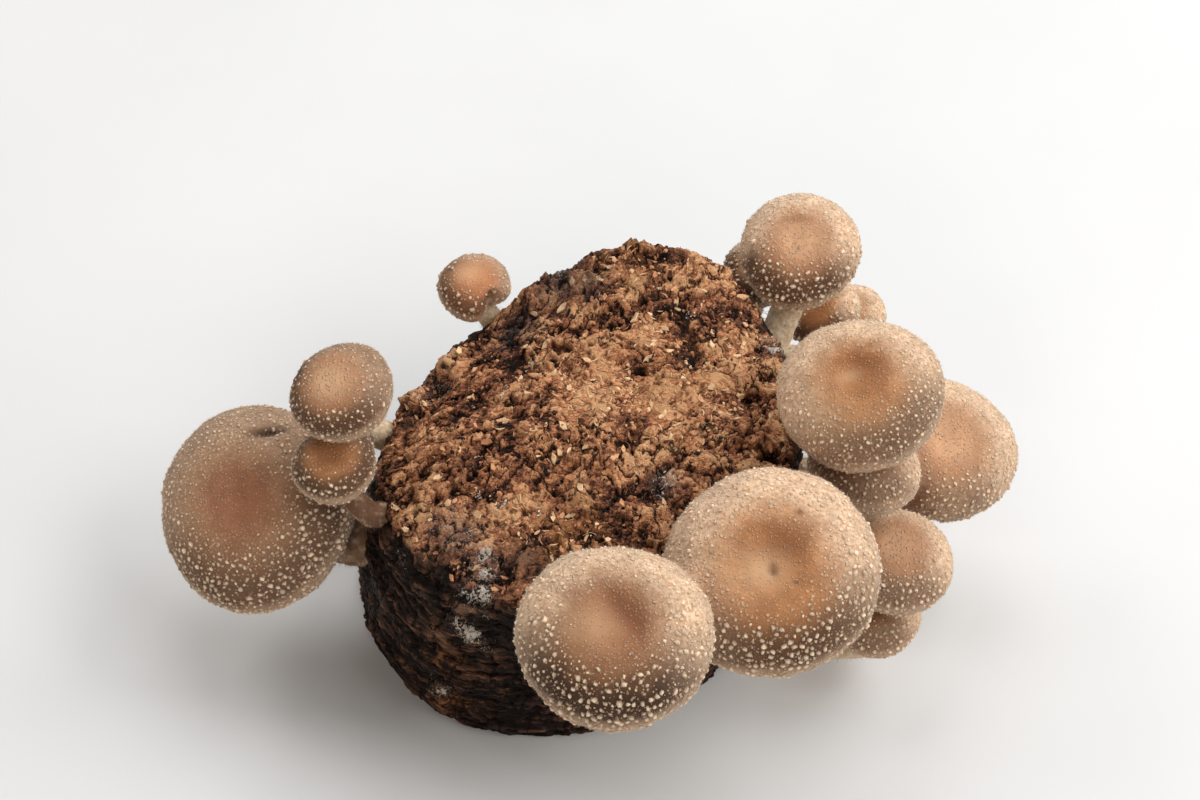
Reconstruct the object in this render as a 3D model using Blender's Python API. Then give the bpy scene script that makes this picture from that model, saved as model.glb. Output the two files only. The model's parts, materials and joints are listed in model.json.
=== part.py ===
"""Shiitake mushrooms fruiting on a round sawdust cultivation block.

The block stands on its flat base, with the origin at the middle of that base,
+Z up and +X to the right of the usual view. Fifteen mushrooms grow from its
wall and shoulder. Each has a cap and a stem, and each stem sits in a socket
in the block. Sizes are in millimetres until mesh vertices are written, which
are in metres.
"""

import math
from dataclasses import dataclass

import bmesh
import bpy
from mathutils import Quaternion
from mathutils import Vector
from mathutils import noise

MM = 0.001

# Block plan, one value for every 30 degrees from +X through +Y
RIM_RADIUS = (64, 66, 67, 62, 58, 57, 61, 66, 68, 65, 64, 64)
BASE_RADIUS = (62, 65, 66, 65, 62, 64, 69, 69, 68, 62, 57, 57)
RIM_HEIGHT = (76, 81, 88, 81, 68, 63, 63, 69, 70, 70, 68, 71)
CROWN_HEIGHT = 80.0
HUMP_AT = (14.0, 50.0)
HUMP_HEIGHT = 4.5
HUMP_SPREAD = 15.0
SHOULDER = 9.0
WALL_BULGE = 1.5
WALL_EASE = 1.5
CROWN_EASE = 1.6
FOOT_CHAMFER = 2.0

# Block relief
LUMP_HEIGHT = 3.2
LUMP_SIZE = 15.0
FINE_LUMP_SHARE = 0.5
FINE_LUMP_RATIO = 2.1
RIDGE_HEIGHT = 2.2
RIDGE_PITCH = 11.0
RIDGE_LENGTH = 34.0
FINE_RIDGE_SHARE = 0.4
FINE_RIDGE_RATIO = 2.3
FOOT_FADE = 8.0
BLOCK_SEGMENTS = 50
WALL_RINGS = 9
SHOULDER_RINGS = 3
TOP_RINGS = 7

# Cap section, as shares of the cap radius
DOME_RISE = 0.51
DOME_FULLNESS = 2.6
DOME_CREST = 0.62
LIP_WIDTH = 0.13
LIP_DROP = 0.30
LIP_TURN = 152.0
GILL_LEVEL = -0.12
GILL_RING = 0.45
DIP_SPREAD = 0.30
OUTLINE_WAVE = 0.022
TRIPLE_WAVE_SHARE = 0.7
WAVE_START = 0.3
WAVE_FADE = 0.5

# Stem
STEM_SHARE = 0.20
STEM_EXTRA = 0.8
ROOT_FLARE = 1.18
ROOT_DEPTH = 5.0
ROOT_RISE = 0.35
ROOT_HANDLE = 0.8
STEM_KNOBBLE = 0.14
KNOBBLE_SIZE = 5.0
KNOBBLE_REACH = 3.0
STEM_STATIONS = 7
NECK_SHARE = 0.9
FIT_GAP = 0.3
SOCKET_GAP = 0.4

# Facets, for caps wider than BIG_CAP in radius and for the rest
BIG_CAP = 20.0
BIG_CAP_SEGMENTS = 20
SMALL_CAP_SEGMENTS = 16
BIG_CAP_RINGS = 7
SMALL_CAP_RINGS = 6
LEAST_LIP_STEPS = 3
BIG_STEM_SIDES = 9
SMALL_STEM_SIDES = 7


@dataclass(frozen=True)
class Mushroom:
    """One mushroom: where its cap sits, and where its stem leaves the block."""

    name: str
    centre: tuple
    radius: float
    tilt: float
    facing: float
    root_angle: float
    root_height: float
    dip: float = 0.08
    dip_at: tuple = (0.0, 0.0)
    squash: float = 0.0
    squash_angle: float = 0.0
    notch: float = 0.0
    notch_angle: float = 0.0
    notch_width: float = 0.5
    rise: float = DOME_RISE
    bend: float = 0.5


MUSHROOMS = (
    Mushroom("front", (9.0, -90.5, 84.7), 26.5, 20, 258, -84, 50, dip=0.11, dip_at=(0.10, 0.02),
             squash=-0.025, squash_angle=-45),
    Mushroom("right_front", (52.2, -62.0, 77.0), 30.3, 26, 267, -52, 50, dip=0.13),
    Mushroom("left_large", (-96.4, -14.0, 48.5), 30.4, 36, 246, 192, 34, dip=0.06, bend=0.42),
    Mushroom("right_top", (78.9, -11.5, 95.0), 23.8, 21, 239, 22, 67, dip=0.12, dip_at=(0.0, 0.12),
             bend=0.38),
    Mushroom("right_outer", (107.5, 7.6, 50.0), 22.8, 27, 285, 8, 34, dip=0.07),
    Mushroom("right_tucked", (81.5, -18.6, 71.0), 16.9, 10, 75, -10, 52, dip=0.03),
    Mushroom("right_low", (90.5, -32.0, 46.0), 18.0, 8, 300, -15, 37, dip=0.05, bend=0.2),
    Mushroom("right_lowest", (87.0, -36.0, 25.0), 13.8, 12, 200, -34, 14, dip=0.03),
    Mushroom("back_right", (65.6, 56.2, 86.0), 18.7, 25, 259, 35, 60, dip=0.05, bend=0.3),
    Mushroom("back_right_far", (55.3, 75.5, 58.0), 12.4, 11, 272, 50, 42, dip=0.04),
    Mushroom("back_right_near", (74.2, 59.5, 57.0), 12.2, 25, 222, 22, 44, dip=0.04, bend=0.3),
    Mushroom("back_right_outer", (84.6, 71.0, 42.0), 12.0, 18, 224, 42, 26, dip=0.03),
    Mushroom("left_top", (-68.2, -10.8, 95.0), 15.6, 27, 225, 170, 53, dip=0.04),
    Mushroom("left_middle", (-70.8, -20.9, 75.6), 12.7, 12, 250, 205, 61, dip=0.04, bend=0.35),
    Mushroom("back_left", (-32.8, 53.5, 73.0), 11.8, 18, 300, 118, 60, dip=0.05,
             notch=0.46, notch_angle=-46, notch_width=0.42),
)


@dataclass(frozen=True)
class Finish:
    """A plain surface colour and roughness for one kind of piece."""

    name: str
    colour: tuple
    roughness: float


SUBSTRATE = Finish("substrate", (0.13, 0.055, 0.025, 1.0), 0.95)
CAP_SKIN = Finish("cap_skin", (0.42, 0.24, 0.13, 1.0), 0.75)
STEM_FLESH = Finish("stem_flesh", (0.72, 0.60, 0.45, 1.0), 0.85)


def clear_scene():
    """Remove every object, so the file holds only this model."""
    for item in list(bpy.data.objects):
        bpy.data.objects.remove(item, do_unlink=True)


def surface_material(finish, piece_name):
    """Make the Principled material of one piece."""
    material = bpy.data.materials.new(f"{finish.name}_{piece_name}")
    material.use_nodes = True
    shader = material.node_tree.nodes["Principled BSDF"]
    shader.inputs["Base Color"].default_value = finish.colour
    shader.inputs["Roughness"].default_value = finish.roughness
    shader.inputs["Metallic"].default_value = 0.0
    return material


def add_piece(name, mesh, finish, parent):
    """Link a named object, give it its material and hang it on the parent."""
    piece = bpy.data.objects.new(name, mesh)
    bpy.context.scene.collection.objects.link(piece)
    mesh.materials.append(surface_material(finish, name))
    piece.parent = parent
    return piece


def mesh_from_rings(name, rings, top_point, bottom_point):
    """Skin closed rings of equal length, and close both ends with a fan."""
    builder = bmesh.new()
    loops = [[builder.verts.new(point * MM) for point in ring] for ring in rings]
    top = builder.verts.new(top_point * MM)
    bottom = builder.verts.new(bottom_point * MM)
    count = len(loops[0])
    for upper, lower in zip(loops, loops[1:]):
        for i in range(count):
            j = (i + 1) % count
            builder.faces.new((upper[i], lower[i], lower[j]))
            builder.faces.new((upper[i], lower[j], upper[j]))
    for i in range(count):
        j = (i + 1) % count
        builder.faces.new((top, loops[0][i], loops[0][j]))
        builder.faces.new((bottom, loops[-1][j], loops[-1][i]))
    bmesh.ops.recalc_face_normals(builder, faces=builder.faces)
    mesh = bpy.data.meshes.new(name)
    builder.to_mesh(mesh)
    builder.free()
    mesh.shade_smooth()
    return mesh


def round_trip(values, angle):
    """Read a smooth closed curve through values spaced evenly round a circle."""
    count = len(values)
    place = (angle / math.tau * count) % count
    k = int(place)
    t = place - k
    before, here, after, beyond = (values[(k + step) % count] for step in (-1, 0, 1, 2))
    slope_here = (after - before) / 2
    slope_after = (beyond - here) / 2
    return (
        here * (2 * t**3 - 3 * t**2 + 1)
        + slope_here * (t**3 - 2 * t**2 + t)
        + after * (3 * t**2 - 2 * t**3)
        + slope_after * (t**3 - t**2)
    )


def wall_radius(angle, height):
    """Radius of the smooth block wall at an angle and a height."""
    base = round_trip(BASE_RADIUS, angle)
    rim = round_trip(RIM_RADIUS, angle)
    share = min(1.0, max(0.0, height / (round_trip(RIM_HEIGHT, angle) - SHOULDER)))
    return base + (rim - base) * share**WALL_EASE + WALL_BULGE * math.sin(math.pi * share)


def block_section(angle):
    """Smooth section of the block at an angle: (radius, height, lean) from foot to crown."""
    rim = round_trip(RIM_RADIUS, angle)
    rim_height = round_trip(RIM_HEIGHT, angle)
    points = [(wall_radius(angle, 0.0) - FOOT_CHAMFER, 0.0, 0.0)]
    for k in range(WALL_RINGS):
        share = k / WALL_RINGS
        height = FOOT_CHAMFER + share * (rim_height - SHOULDER - FOOT_CHAMFER)
        points.append((wall_radius(angle, height), height, 0.0))
    for k in range(SHOULDER_RINGS):
        lean = math.pi / 2 * k / SHOULDER_RINGS
        radius = rim - SHOULDER * (1 - math.cos(lean))
        points.append((radius, rim_height - SHOULDER + SHOULDER * math.sin(lean), lean))
    for k in range(TOP_RINGS):
        share = k / TOP_RINGS
        height = rim_height + (CROWN_HEIGHT - rim_height) * (1 - (1 - share) ** CROWN_EASE)
        points.append(((rim - SHOULDER) * (1 - share), height, math.pi / 2))
    return points


def relief(point, lean):
    """Height of the crumbly lumps on top and of the level ridges on the wall."""
    broad = point / LUMP_SIZE
    lump = noise.noise(broad) + FINE_LUMP_SHARE * noise.noise(broad * FINE_LUMP_RATIO)
    squeezed = Vector((point.x / RIDGE_LENGTH, point.y / RIDGE_LENGTH, point.z / RIDGE_PITCH))
    ridge = noise.noise(squeezed) + FINE_RIDGE_SHARE * noise.noise(squeezed * FINE_RIDGE_RATIO)
    top_share = math.sin(lean)
    wall_share = 1.0 - top_share
    foot_fade = min(1.0, point.z / FOOT_FADE)
    hump_distance = math.hypot(point.x - HUMP_AT[0], point.y - HUMP_AT[1])
    hump = HUMP_HEIGHT * math.exp(-((hump_distance / HUMP_SPREAD) ** 2)) * top_share
    return (LUMP_HEIGHT * lump * top_share + RIDGE_HEIGHT * ridge * wall_share) * foot_fade + hump


def block_rings():
    """Closed rings of the block's surface, from the crown down to the foot."""
    sections = []
    for i in range(BLOCK_SEGMENTS):
        angle = math.tau * i / BLOCK_SEGMENTS
        outward = Vector((math.cos(angle), math.sin(angle), 0.0))
        column = []
        for radius, height, lean in block_section(angle):
            point = outward * radius + Vector((0.0, 0.0, height))
            push = outward * math.cos(lean) + Vector((0.0, 0.0, math.sin(lean)))
            column.append(point + push * relief(point, lean))
        sections.append(column)
    return [[column[k] for column in sections] for k in reversed(range(len(sections[0])))]


def make_block(parent):
    """The sawdust block, flat below, with lumps on top and ridges round its wall."""
    crown = Vector((0.0, 0.0, CROWN_HEIGHT))
    crown.z += relief(crown, math.pi / 2)
    mesh = mesh_from_rings("substrate_block", block_rings(), crown, Vector((0.0, 0.0, 0.0)))
    return add_piece("substrate_block", mesh, SUBSTRATE, parent)


def cap_axis(mushroom):
    """Unit vector from the stem through the crown of the cap."""
    tilt = math.radians(mushroom.tilt)
    facing = math.radians(mushroom.facing)
    return Vector((math.cos(facing) * math.sin(tilt), math.sin(facing) * math.sin(tilt), math.cos(tilt)))


def cap_turn(mushroom):
    """Rotation that leans an upright cap over to its axis."""
    return Vector((0.0, 0.0, 1.0)).rotation_difference(cap_axis(mushroom))


def cap_section(mushroom, rings):
    """Turned section of a cap, as (radius share, height share), from crown to gills."""
    points = []
    for k in range(1, rings):
        share = math.sin(math.pi / 2 * k / rings)
        points.append((share, mushroom.rise * (1 - share**DOME_FULLNESS) ** DOME_CREST))
    lip_steps = max(LEAST_LIP_STEPS, rings // 2)
    for k in range(lip_steps):
        swing = math.radians(LIP_TURN) * k / (lip_steps - 1)
        radius = 1 - LIP_WIDTH + LIP_WIDTH * math.cos(swing)
        points.append((radius, -LIP_DROP * math.sin(swing)))
    points.append((GILL_RING, GILL_LEVEL))
    return points


def cap_point(mushroom, radius_share, height_share, angle):
    """Point of the cap's surface in its own frame, with its dip, wave and notch."""
    wave = math.sin(2 * angle + mushroom.tilt) + TRIPLE_WAVE_SHARE * math.sin(3 * angle + mushroom.facing)
    squash = mushroom.squash * math.cos(2 * (angle - math.radians(mushroom.squash_angle)))
    turn = math.remainder(angle - math.radians(mushroom.notch_angle), math.tau)
    bite = mushroom.notch * math.exp(-((turn / mushroom.notch_width) ** 2))
    fade = min(1.0, max(0.0, (radius_share - WAVE_START) / WAVE_FADE))
    reach = radius_share * (1 + (OUTLINE_WAVE * wave - squash - bite) * fade)
    x = reach * math.cos(angle)
    y = reach * math.sin(angle)
    height = height_share
    if height_share > 0.0:
        distance = math.hypot(x - mushroom.dip_at[0], y - mushroom.dip_at[1])
        height -= mushroom.dip * math.exp(-((distance / DIP_SPREAD) ** 2))
    return Vector((x, y, height)) * mushroom.radius


def make_cap(mushroom, parent):
    """A domed cap with a rolled-in margin and a flat seat under it for the stem."""
    big = mushroom.radius > BIG_CAP
    segments = BIG_CAP_SEGMENTS if big else SMALL_CAP_SEGMENTS
    rings = BIG_CAP_RINGS if big else SMALL_CAP_RINGS
    loops = []
    for radius_share, height_share in cap_section(mushroom, rings):
        loops.append([
            cap_point(mushroom, radius_share, height_share, math.tau * i / segments)
            for i in range(segments)
        ])
    crown = cap_point(mushroom, 0.0, mushroom.rise, 0.0)
    seat = Vector((0.0, 0.0, GILL_LEVEL * mushroom.radius))
    cap = add_piece(f"cap_{mushroom.name}",
                    mesh_from_rings(f"cap_{mushroom.name}", loops, crown, seat), CAP_SKIN, parent)
    cap.rotation_mode = "QUATERNION"
    cap.rotation_quaternion = cap_turn(mushroom)
    cap.location = Vector(mushroom.centre) * MM
    return cap


def stem_radius(mushroom):
    """Radius of a stem under its cap."""
    return STEM_SHARE * mushroom.radius + STEM_EXTRA


def stem_route(mushroom, overrun):
    """Centre line of a stem, from the gills of its cap to its root in the block."""
    axis = cap_axis(mushroom)
    seat = Vector(mushroom.centre) + axis * (GILL_LEVEL * mushroom.radius - FIT_GAP)
    start = seat - axis * stem_radius(mushroom) * NECK_SHARE
    angle = math.radians(mushroom.root_angle)
    outward = Vector((math.cos(angle), math.sin(angle), 0.0))
    wall = outward * wall_radius(angle, mushroom.root_height)
    wall.z = mushroom.root_height
    inward = -(outward + Vector((0.0, 0.0, ROOT_RISE))).normalized()
    end = wall + inward * (ROOT_DEPTH + overrun)
    reach = (wall - start).length * mushroom.bend
    first = start - axis * reach
    second = wall - inward * reach * ROOT_HANDLE
    points = [seat]
    for k in range(STEM_STATIONS):
        t = k / (STEM_STATIONS - 1)
        points.append(
            start * (1 - t) ** 3
            + first * 3 * t * (1 - t) ** 2
            + second * 3 * t**2 * (1 - t)
            + wall * t**3
        )
    points.append(end)
    return points, axis


def stem_rings(mushroom, sides, inflate):
    """Rings of a stem, widening to its root, with inflate added all round."""
    points, axis = stem_route(mushroom, inflate)
    side = axis.orthogonal().normalized()
    tangent = -axis
    base_radius = stem_radius(mushroom)
    rings = []
    for k, point in enumerate(points):
        if 0 < k < len(points) - 1:
            heading = (points[k + 1] - points[k - 1]).normalized()
        elif k > 0:
            heading = (points[k] - points[k - 1]).normalized()
        else:
            heading = tangent
        side = Quaternion(tangent.rotation_difference(heading)) @ side
        tangent = heading
        across = tangent.cross(side).normalized()
        share = k / (len(points) - 1)
        ring = []
        for i in range(sides):
            angle = math.tau * i / sides
            spoke = side * math.cos(angle) + across * math.sin(angle)
            knobble = 1 + STEM_KNOBBLE * noise.noise((point + spoke * KNOBBLE_REACH) / KNOBBLE_SIZE)
            radius = base_radius * (1 + (ROOT_FLARE - 1) * share**2) * knobble + inflate
            ring.append(point + spoke * radius)
        rings.append(ring)
    return rings, points


def stem_sides(mushroom):
    """Number of sides of a stem's tube."""
    return BIG_STEM_SIDES if mushroom.radius > BIG_CAP else SMALL_STEM_SIDES


def make_stem(mushroom, parent):
    """A bent stem from the cap's seat to its root in the block."""
    rings, points = stem_rings(mushroom, stem_sides(mushroom), 0.0)
    name = f"stem_{mushroom.name}"
    mesh = mesh_from_rings(name, rings, points[0], points[-1])
    return add_piece(name, mesh, STEM_FLESH, parent)


def cut_sockets(block, parent):
    """Cut a socket for every stem, a little wider and deeper than its root."""
    cutter_mesh = bpy.data.meshes.new("socket_cutter")
    builder = bmesh.new()
    for mushroom in MUSHROOMS:
        rings, points = stem_rings(mushroom, stem_sides(mushroom), SOCKET_GAP)
        piece = mesh_from_rings("socket", rings, points[0], points[-1])
        builder.from_mesh(piece)
        bpy.data.meshes.remove(piece)
    builder.to_mesh(cutter_mesh)
    builder.free()
    cutter = bpy.data.objects.new("socket_cutter", cutter_mesh)
    bpy.context.scene.collection.objects.link(cutter)
    cutter.parent = parent
    cutter.hide_render = True
    cutter.display_type = "WIRE"
    cut = block.modifiers.new("sockets", "BOOLEAN")
    cut.operation = "DIFFERENCE"
    cut.solver = "EXACT"
    cut.object = cutter


def main():
    """Build the block and its mushrooms."""
    clear_scene()
    root = bpy.data.objects.new("shiitake_log", None)
    bpy.context.scene.collection.objects.link(root)
    block = make_block(root)
    for mushroom in MUSHROOMS:
        make_cap(mushroom, root)
        make_stem(mushroom, root)
    cut_sockets(block, root)


main()
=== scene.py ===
"""Looks of a shiitake cultivation block with fifteen mushrooms growing from it.

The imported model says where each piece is. This script repeats the forms of the
block, caps and stems with a fine surface, and dresses them: a crumbly sawdust
crust with chips, shavings and white threads, velvety cap skins with raised pale
flecks and fuzzy margins, gills under the caps, and shaggy stems. The origin is
at the middle of the block's base, +Z is up and +X is to the right of the view.
Sizes are in millimetres until mesh vertices are written, which are in metres.
"""

import json
import logging
import math
from dataclasses import dataclass
from enum import Enum

import bmesh
import bpy
import numpy as np
from mathutils import Matrix, Vector, noise

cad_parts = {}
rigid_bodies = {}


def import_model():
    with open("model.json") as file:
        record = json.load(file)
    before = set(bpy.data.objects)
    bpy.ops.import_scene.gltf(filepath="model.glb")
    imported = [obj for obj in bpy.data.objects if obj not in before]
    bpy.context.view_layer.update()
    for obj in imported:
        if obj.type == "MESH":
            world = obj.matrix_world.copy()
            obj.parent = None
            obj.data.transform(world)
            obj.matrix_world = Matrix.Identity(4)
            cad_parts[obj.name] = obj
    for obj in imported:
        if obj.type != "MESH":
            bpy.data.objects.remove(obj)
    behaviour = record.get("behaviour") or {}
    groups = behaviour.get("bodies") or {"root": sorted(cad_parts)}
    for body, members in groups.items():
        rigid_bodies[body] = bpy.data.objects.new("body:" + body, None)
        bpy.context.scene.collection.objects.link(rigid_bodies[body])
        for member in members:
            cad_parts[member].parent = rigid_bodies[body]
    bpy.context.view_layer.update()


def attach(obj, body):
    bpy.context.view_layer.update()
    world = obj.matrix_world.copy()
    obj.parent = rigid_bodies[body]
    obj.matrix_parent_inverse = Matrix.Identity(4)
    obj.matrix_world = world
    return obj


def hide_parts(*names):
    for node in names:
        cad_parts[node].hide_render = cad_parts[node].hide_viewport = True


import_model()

MM = 0.001
BODY = "root"
# Radii of caps in millimetres: made finely over the first, and the second has relief of full height.
BIG_CAP = 20.0
USUAL_CAP = 27.0
# Level of a cap's flat underside, in radii from its widest place.
CEILING = -0.05
FIRST_SEED = 11
log = logging.getLogger("shiitake_block")

Pair = tuple[float, float]
Triple = tuple[float, float, float]
Colour = tuple[float, float, float, float]
Array = np.ndarray
Socket = bpy.types.NodeSocket
Material = bpy.types.Material
Mesh = bpy.types.Mesh


class NodeSheet:
    """Adds and links nodes in one shader or Geometry Nodes tree."""

    def __init__(self, tree: bpy.types.NodeTree) -> None:
        """Keep the tree that the nodes go into."""
        self.tree = tree

    def feed(self, socket: Socket, value: object) -> None:
        """Link a socket to another, or give it a value.

        Args:
            socket: The input that takes the value.
            value: An output socket to link, or a plain value.
        """
        if isinstance(value, Socket):
            self.tree.links.new(value, socket)
        else:
            socket.default_value = value

    def add(self, kind: str, inputs: dict | None = None, **settings: object) -> bpy.types.Node:
        """Add a node, with its settings and inputs.

        Args:
            kind: The node's type.
            inputs: Values or sockets by input name or number.
            **settings: Properties of the node itself.

        Returns:
            The new node.
        """
        node = self.tree.nodes.new(kind)
        for name, value in settings.items():
            setattr(node, name, value)
        for key, value in (inputs or {}).items():
            self.feed(node.inputs[key], value)
        return node

    def give(self, kind: str, inputs: dict | None = None, **settings: object) -> Socket:
        """Add a node and give its first output."""
        return self.add(kind, inputs, **settings).outputs[0]

    def math(self, operation: str, first: object, second: object = 0.0) -> Socket:
        """Combine two numbers by a Math node's operation."""
        return self.give("ShaderNodeMath", {0: first, 1: second}, operation=operation)

    def times(self, first: object, second: object) -> Socket:
        """Multiply two numbers."""
        return self.math("MULTIPLY", first, second)

    def total(self, *terms: tuple[object, float]) -> Socket:
        """Add up sockets, each times its own share.

        Args:
            *terms: Pairs of a socket and its share.

        Returns:
            The sum's socket.
        """
        result = 0.0
        for term, share in terms:
            result = self.give("ShaderNodeMath", {0: term, 1: share, 2: result}, operation="MULTIPLY_ADD")
        return result

    def vector(self, operation: str, first: object, second: object) -> Socket:
        """Combine two vectors by a Vector Math node's operation."""
        return self.give("ShaderNodeVectorMath", {0: first, 1: second}, operation=operation)

    def stretched(self, place: object, factors: Triple) -> Socket:
        """Scale a place by one factor along each axis."""
        return self.vector("MULTIPLY", place, factors)

    def noise(self, place: object, size: float, detail: float = 2.0, rough: float = 0.5,
              distortion: float = 0.0, output: int = 0) -> Socket:
        """Read a noise pattern in lumps of a size, as a number, or as a colour from output 1."""
        inputs = {"Vector": place, "Scale": 1 / size, "Detail": detail, "Roughness": rough,
                  "Distortion": distortion}
        return self.add("ShaderNodeTexNoise", inputs).outputs[output]

    def triple(self, x: object = 0.0, y: object = 0.0, z: object = 0.0) -> Socket:
        """Join three numbers into one vector."""
        return self.give("ShaderNodeCombineXYZ", {0: x, 1: y, 2: z})

    def parts(self, vector: Socket) -> bpy.types.NodeOutputs:
        """Split a vector or colour into three numbers."""
        return self.add("ShaderNodeSeparateXYZ", {0: vector}).outputs

    def cells(self, place: object, size: float, feature: str = "F1") -> bpy.types.Node:
        """Add a Voronoi pattern of cells of a size, in the coordinates' unit."""
        return self.add("ShaderNodeTexVoronoi", {"Vector": place, "Scale": 1 / size}, feature=feature)

    def sway(self, place: Socket, size: float, reach: float) -> Socket:
        """Push coordinates about by waves of noise, of a size and a reach."""
        offset = self.vector("SUBTRACT", self.noise(place, size, output=1), (0.5, 0.5, 0.5))
        return self.vector("ADD", place, self.stretched(offset, (reach, reach, reach)))

    def span(self, value: object, low: float, high: float, start: float = 0.0, end: float = 1.0) -> Socket:
        """Map the range from low to high smoothly onto start to end, and clamp it."""
        inputs = {0: value, 1: low, 2: high, 3: start, 4: end}
        return self.give("ShaderNodeMapRange", inputs, interpolation_type="SMOOTHSTEP")

    def net(self, place: object, size: float, detail: float, rough: float) -> Socket:
        """Give the distance from a net of wandering lines, 0 on a line and about 0.2 far from it."""
        value = self.math("SUBTRACT", self.noise(place, size, detail=detail, rough=rough), 0.5)
        return self.math("ABSOLUTE", value)

    def least(self, first: object, second: object) -> Socket:
        """Give the smaller of two numbers."""
        return self.math("MINIMUM", first, second)

    def most(self, first: object, second: object) -> Socket:
        """Give the larger of two numbers."""
        return self.math("MAXIMUM", first, second)

    def lerp(self, share: object, first: object, second: object) -> Socket:
        """Go from one number to another by a share."""
        return self.give("ShaderNodeMix", {0: share, 2: first, 3: second}, data_type="FLOAT")

    def tint(self, share: object, first: object, second: object, mode: str = "MIX") -> Socket:
        """Lay one colour over another, by a share and a blend mode."""
        node = self.add("ShaderNodeMix", {0: share, 6: first, 7: second}, data_type="RGBA", blend_type=mode)
        return node.outputs[2]

    def ramp(self, value: object, stops: list[tuple[float, Colour]]) -> Socket:
        """Read a colour from a row of colours.

        Args:
            value: Place on the row, from 0 to 1.
            stops: Places and their colours, in rising order.

        Returns:
            The colour's socket.
        """
        node = self.add("ShaderNodeValToRGB", {0: value})
        elements = node.color_ramp.elements
        while len(elements) < len(stops):
            elements.new(1.0)
        for element, (place, colour) in zip(elements, stops):
            element.position = place
            element.color = colour
        return node.outputs[0]


class GrowthTree(NodeSheet):
    """A Geometry Nodes tree with named inputs, which ends in Realize Instances and Set Material."""

    def __init__(self, name: str) -> None:
        """Start a tree of that name, which takes and gives geometry."""
        super().__init__(bpy.data.node_groups.new(name, "GeometryNodeTree"))
        interface = self.tree.interface
        interface.new_socket("Geometry", in_out="INPUT", socket_type="NodeSocketGeometry")
        interface.new_socket("Geometry", in_out="OUTPUT", socket_type="NodeSocketGeometry")
        self.entry = self.tree.nodes.new("NodeGroupInput")
        self.material = self.input("Material", "NodeSocketMaterial")
        self.seed = self.input("Seed", "NodeSocketInt", 0)

    def input(self, name: str, kind: str = "NodeSocketFloat", value: object = None) -> Socket:
        """Add a named input.

        Args:
            name: Name of the input.
            kind: Its socket type.
            value: Its first value.

        Returns:
            The socket that carries the input inside the tree.
        """
        item = self.tree.interface.new_socket(name, in_out="INPUT", socket_type=kind)
        if value is not None:
            item.default_value = value
        return self.entry.outputs[name]

    def named(self, name: str, kind: str = "FLOAT") -> Socket:
        """Read a named attribute of the geometry."""
        return self.give("GeometryNodeInputNamedAttribute", {"Name": name}, data_type=kind)

    def random(self, low: object, high: object, seed: int) -> Socket:
        """Give a random number for each element, by a seed that is added to the tree's seed."""
        inputs = {2: low, 3: high, "Seed": self.math("ADD", self.seed, float(seed))}
        return self.add("FunctionNodeRandomValue", inputs, data_type="FLOAT").outputs[1]

    def store(self, geometry: Socket, name: str, value: object, kind: str = "FLOAT",
              domain: str = "POINT") -> Socket:
        """Store a named attribute, of a kind and on a domain, on the geometry."""
        inputs = {"Geometry": geometry, "Name": name, "Value": value}
        return self.give("GeometryNodeStoreNamedAttribute", inputs, data_type=kind, domain=domain)

    def scaled(self, vector: Socket, factor: Socket) -> Socket:
        """Scale a vector by one number."""
        return self.give("ShaderNodeVectorMath", {0: vector, "Scale": factor}, operation="SCALE")

    def moved(self, geometry: Socket, offset: Socket) -> None:
        """End the tree with the geometry's points moved by an offset."""
        self.close(self.give("GeometryNodeSetPosition", {"Geometry": geometry, "Offset": offset}))

    def close(self, geometry: Socket) -> None:
        """End the tree with Realize Instances and Set Material."""
        real = self.give("GeometryNodeRealizeInstances", {"Geometry": geometry})
        dressed = self.give("GeometryNodeSetMaterial", {"Geometry": real, "Material": self.material})
        out = self.tree.nodes.new("NodeGroupOutput")
        self.tree.links.new(dressed, out.inputs[0])


def in_scene(name: str, data: bpy.types.ID) -> bpy.types.Object:
    """Make an object of its data and link it to the scene."""
    made = bpy.data.objects.new(name, data)
    bpy.context.scene.collection.objects.link(made)
    return made


def grow(tree: GrowthTree, mesh: Mesh, values: dict[str, object]) -> Mesh:
    """Run a Geometry Nodes tree on a mesh.

    Args:
        tree: The tree.
        mesh: The mesh that it takes.
        values: The tree's inputs by name.

    Returns:
        A plain mesh of what the tree makes.
    """
    carrier = in_scene("carrier", mesh)
    modifier = carrier.modifiers.new("growth", "NODES")
    modifier.node_group = tree.tree
    for item in tree.tree.interface.items_tree:
        if item.in_out == "INPUT" and item.name in values:
            modifier[item.identifier] = values[item.name]
    graph = bpy.context.evaluated_depsgraph_get()
    result = bpy.data.meshes.new_from_object(
        carrier.evaluated_get(graph), preserve_all_data_layers=True, depsgraph=graph)
    carrier.modifiers.remove(modifier)
    bpy.data.objects.remove(carrier)
    return result


def piece(name: str, mesh: Mesh, slot: str, *stands_for: str) -> bpy.types.Object:
    """Make a finished piece of a mesh that is in place.

    Args:
        name: Name of the piece.
        mesh: Its mesh, in metres, in the frame.
        slot: The record's material slot; not used.
        *stands_for: CAD nodes that the piece replaces.

    Returns:
        The piece's object.
    """
    made = in_scene(name, mesh)
    mesh.name = name
    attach(made, BODY)
    if stands_for:
        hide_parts(*stands_for)
    log.info("%s: %d triangles", name, sum(len(face.vertices) - 2 for face in mesh.polygons))
    return made


def mesh_of(name: str, points: Array, faces: list[tuple[int, ...]]) -> Mesh:
    """Make a smooth-shaded mesh of points in millimetres.

    Args:
        name: Name of the mesh.
        points: Vertices, one row each.
        faces: Vertex numbers of each face.

    Returns:
        The mesh, in metres.
    """
    mesh = bpy.data.meshes.new(name)
    mesh.from_pydata((points * MM).tolist(), [], faces)
    mesh.shade_smooth()
    return mesh


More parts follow.
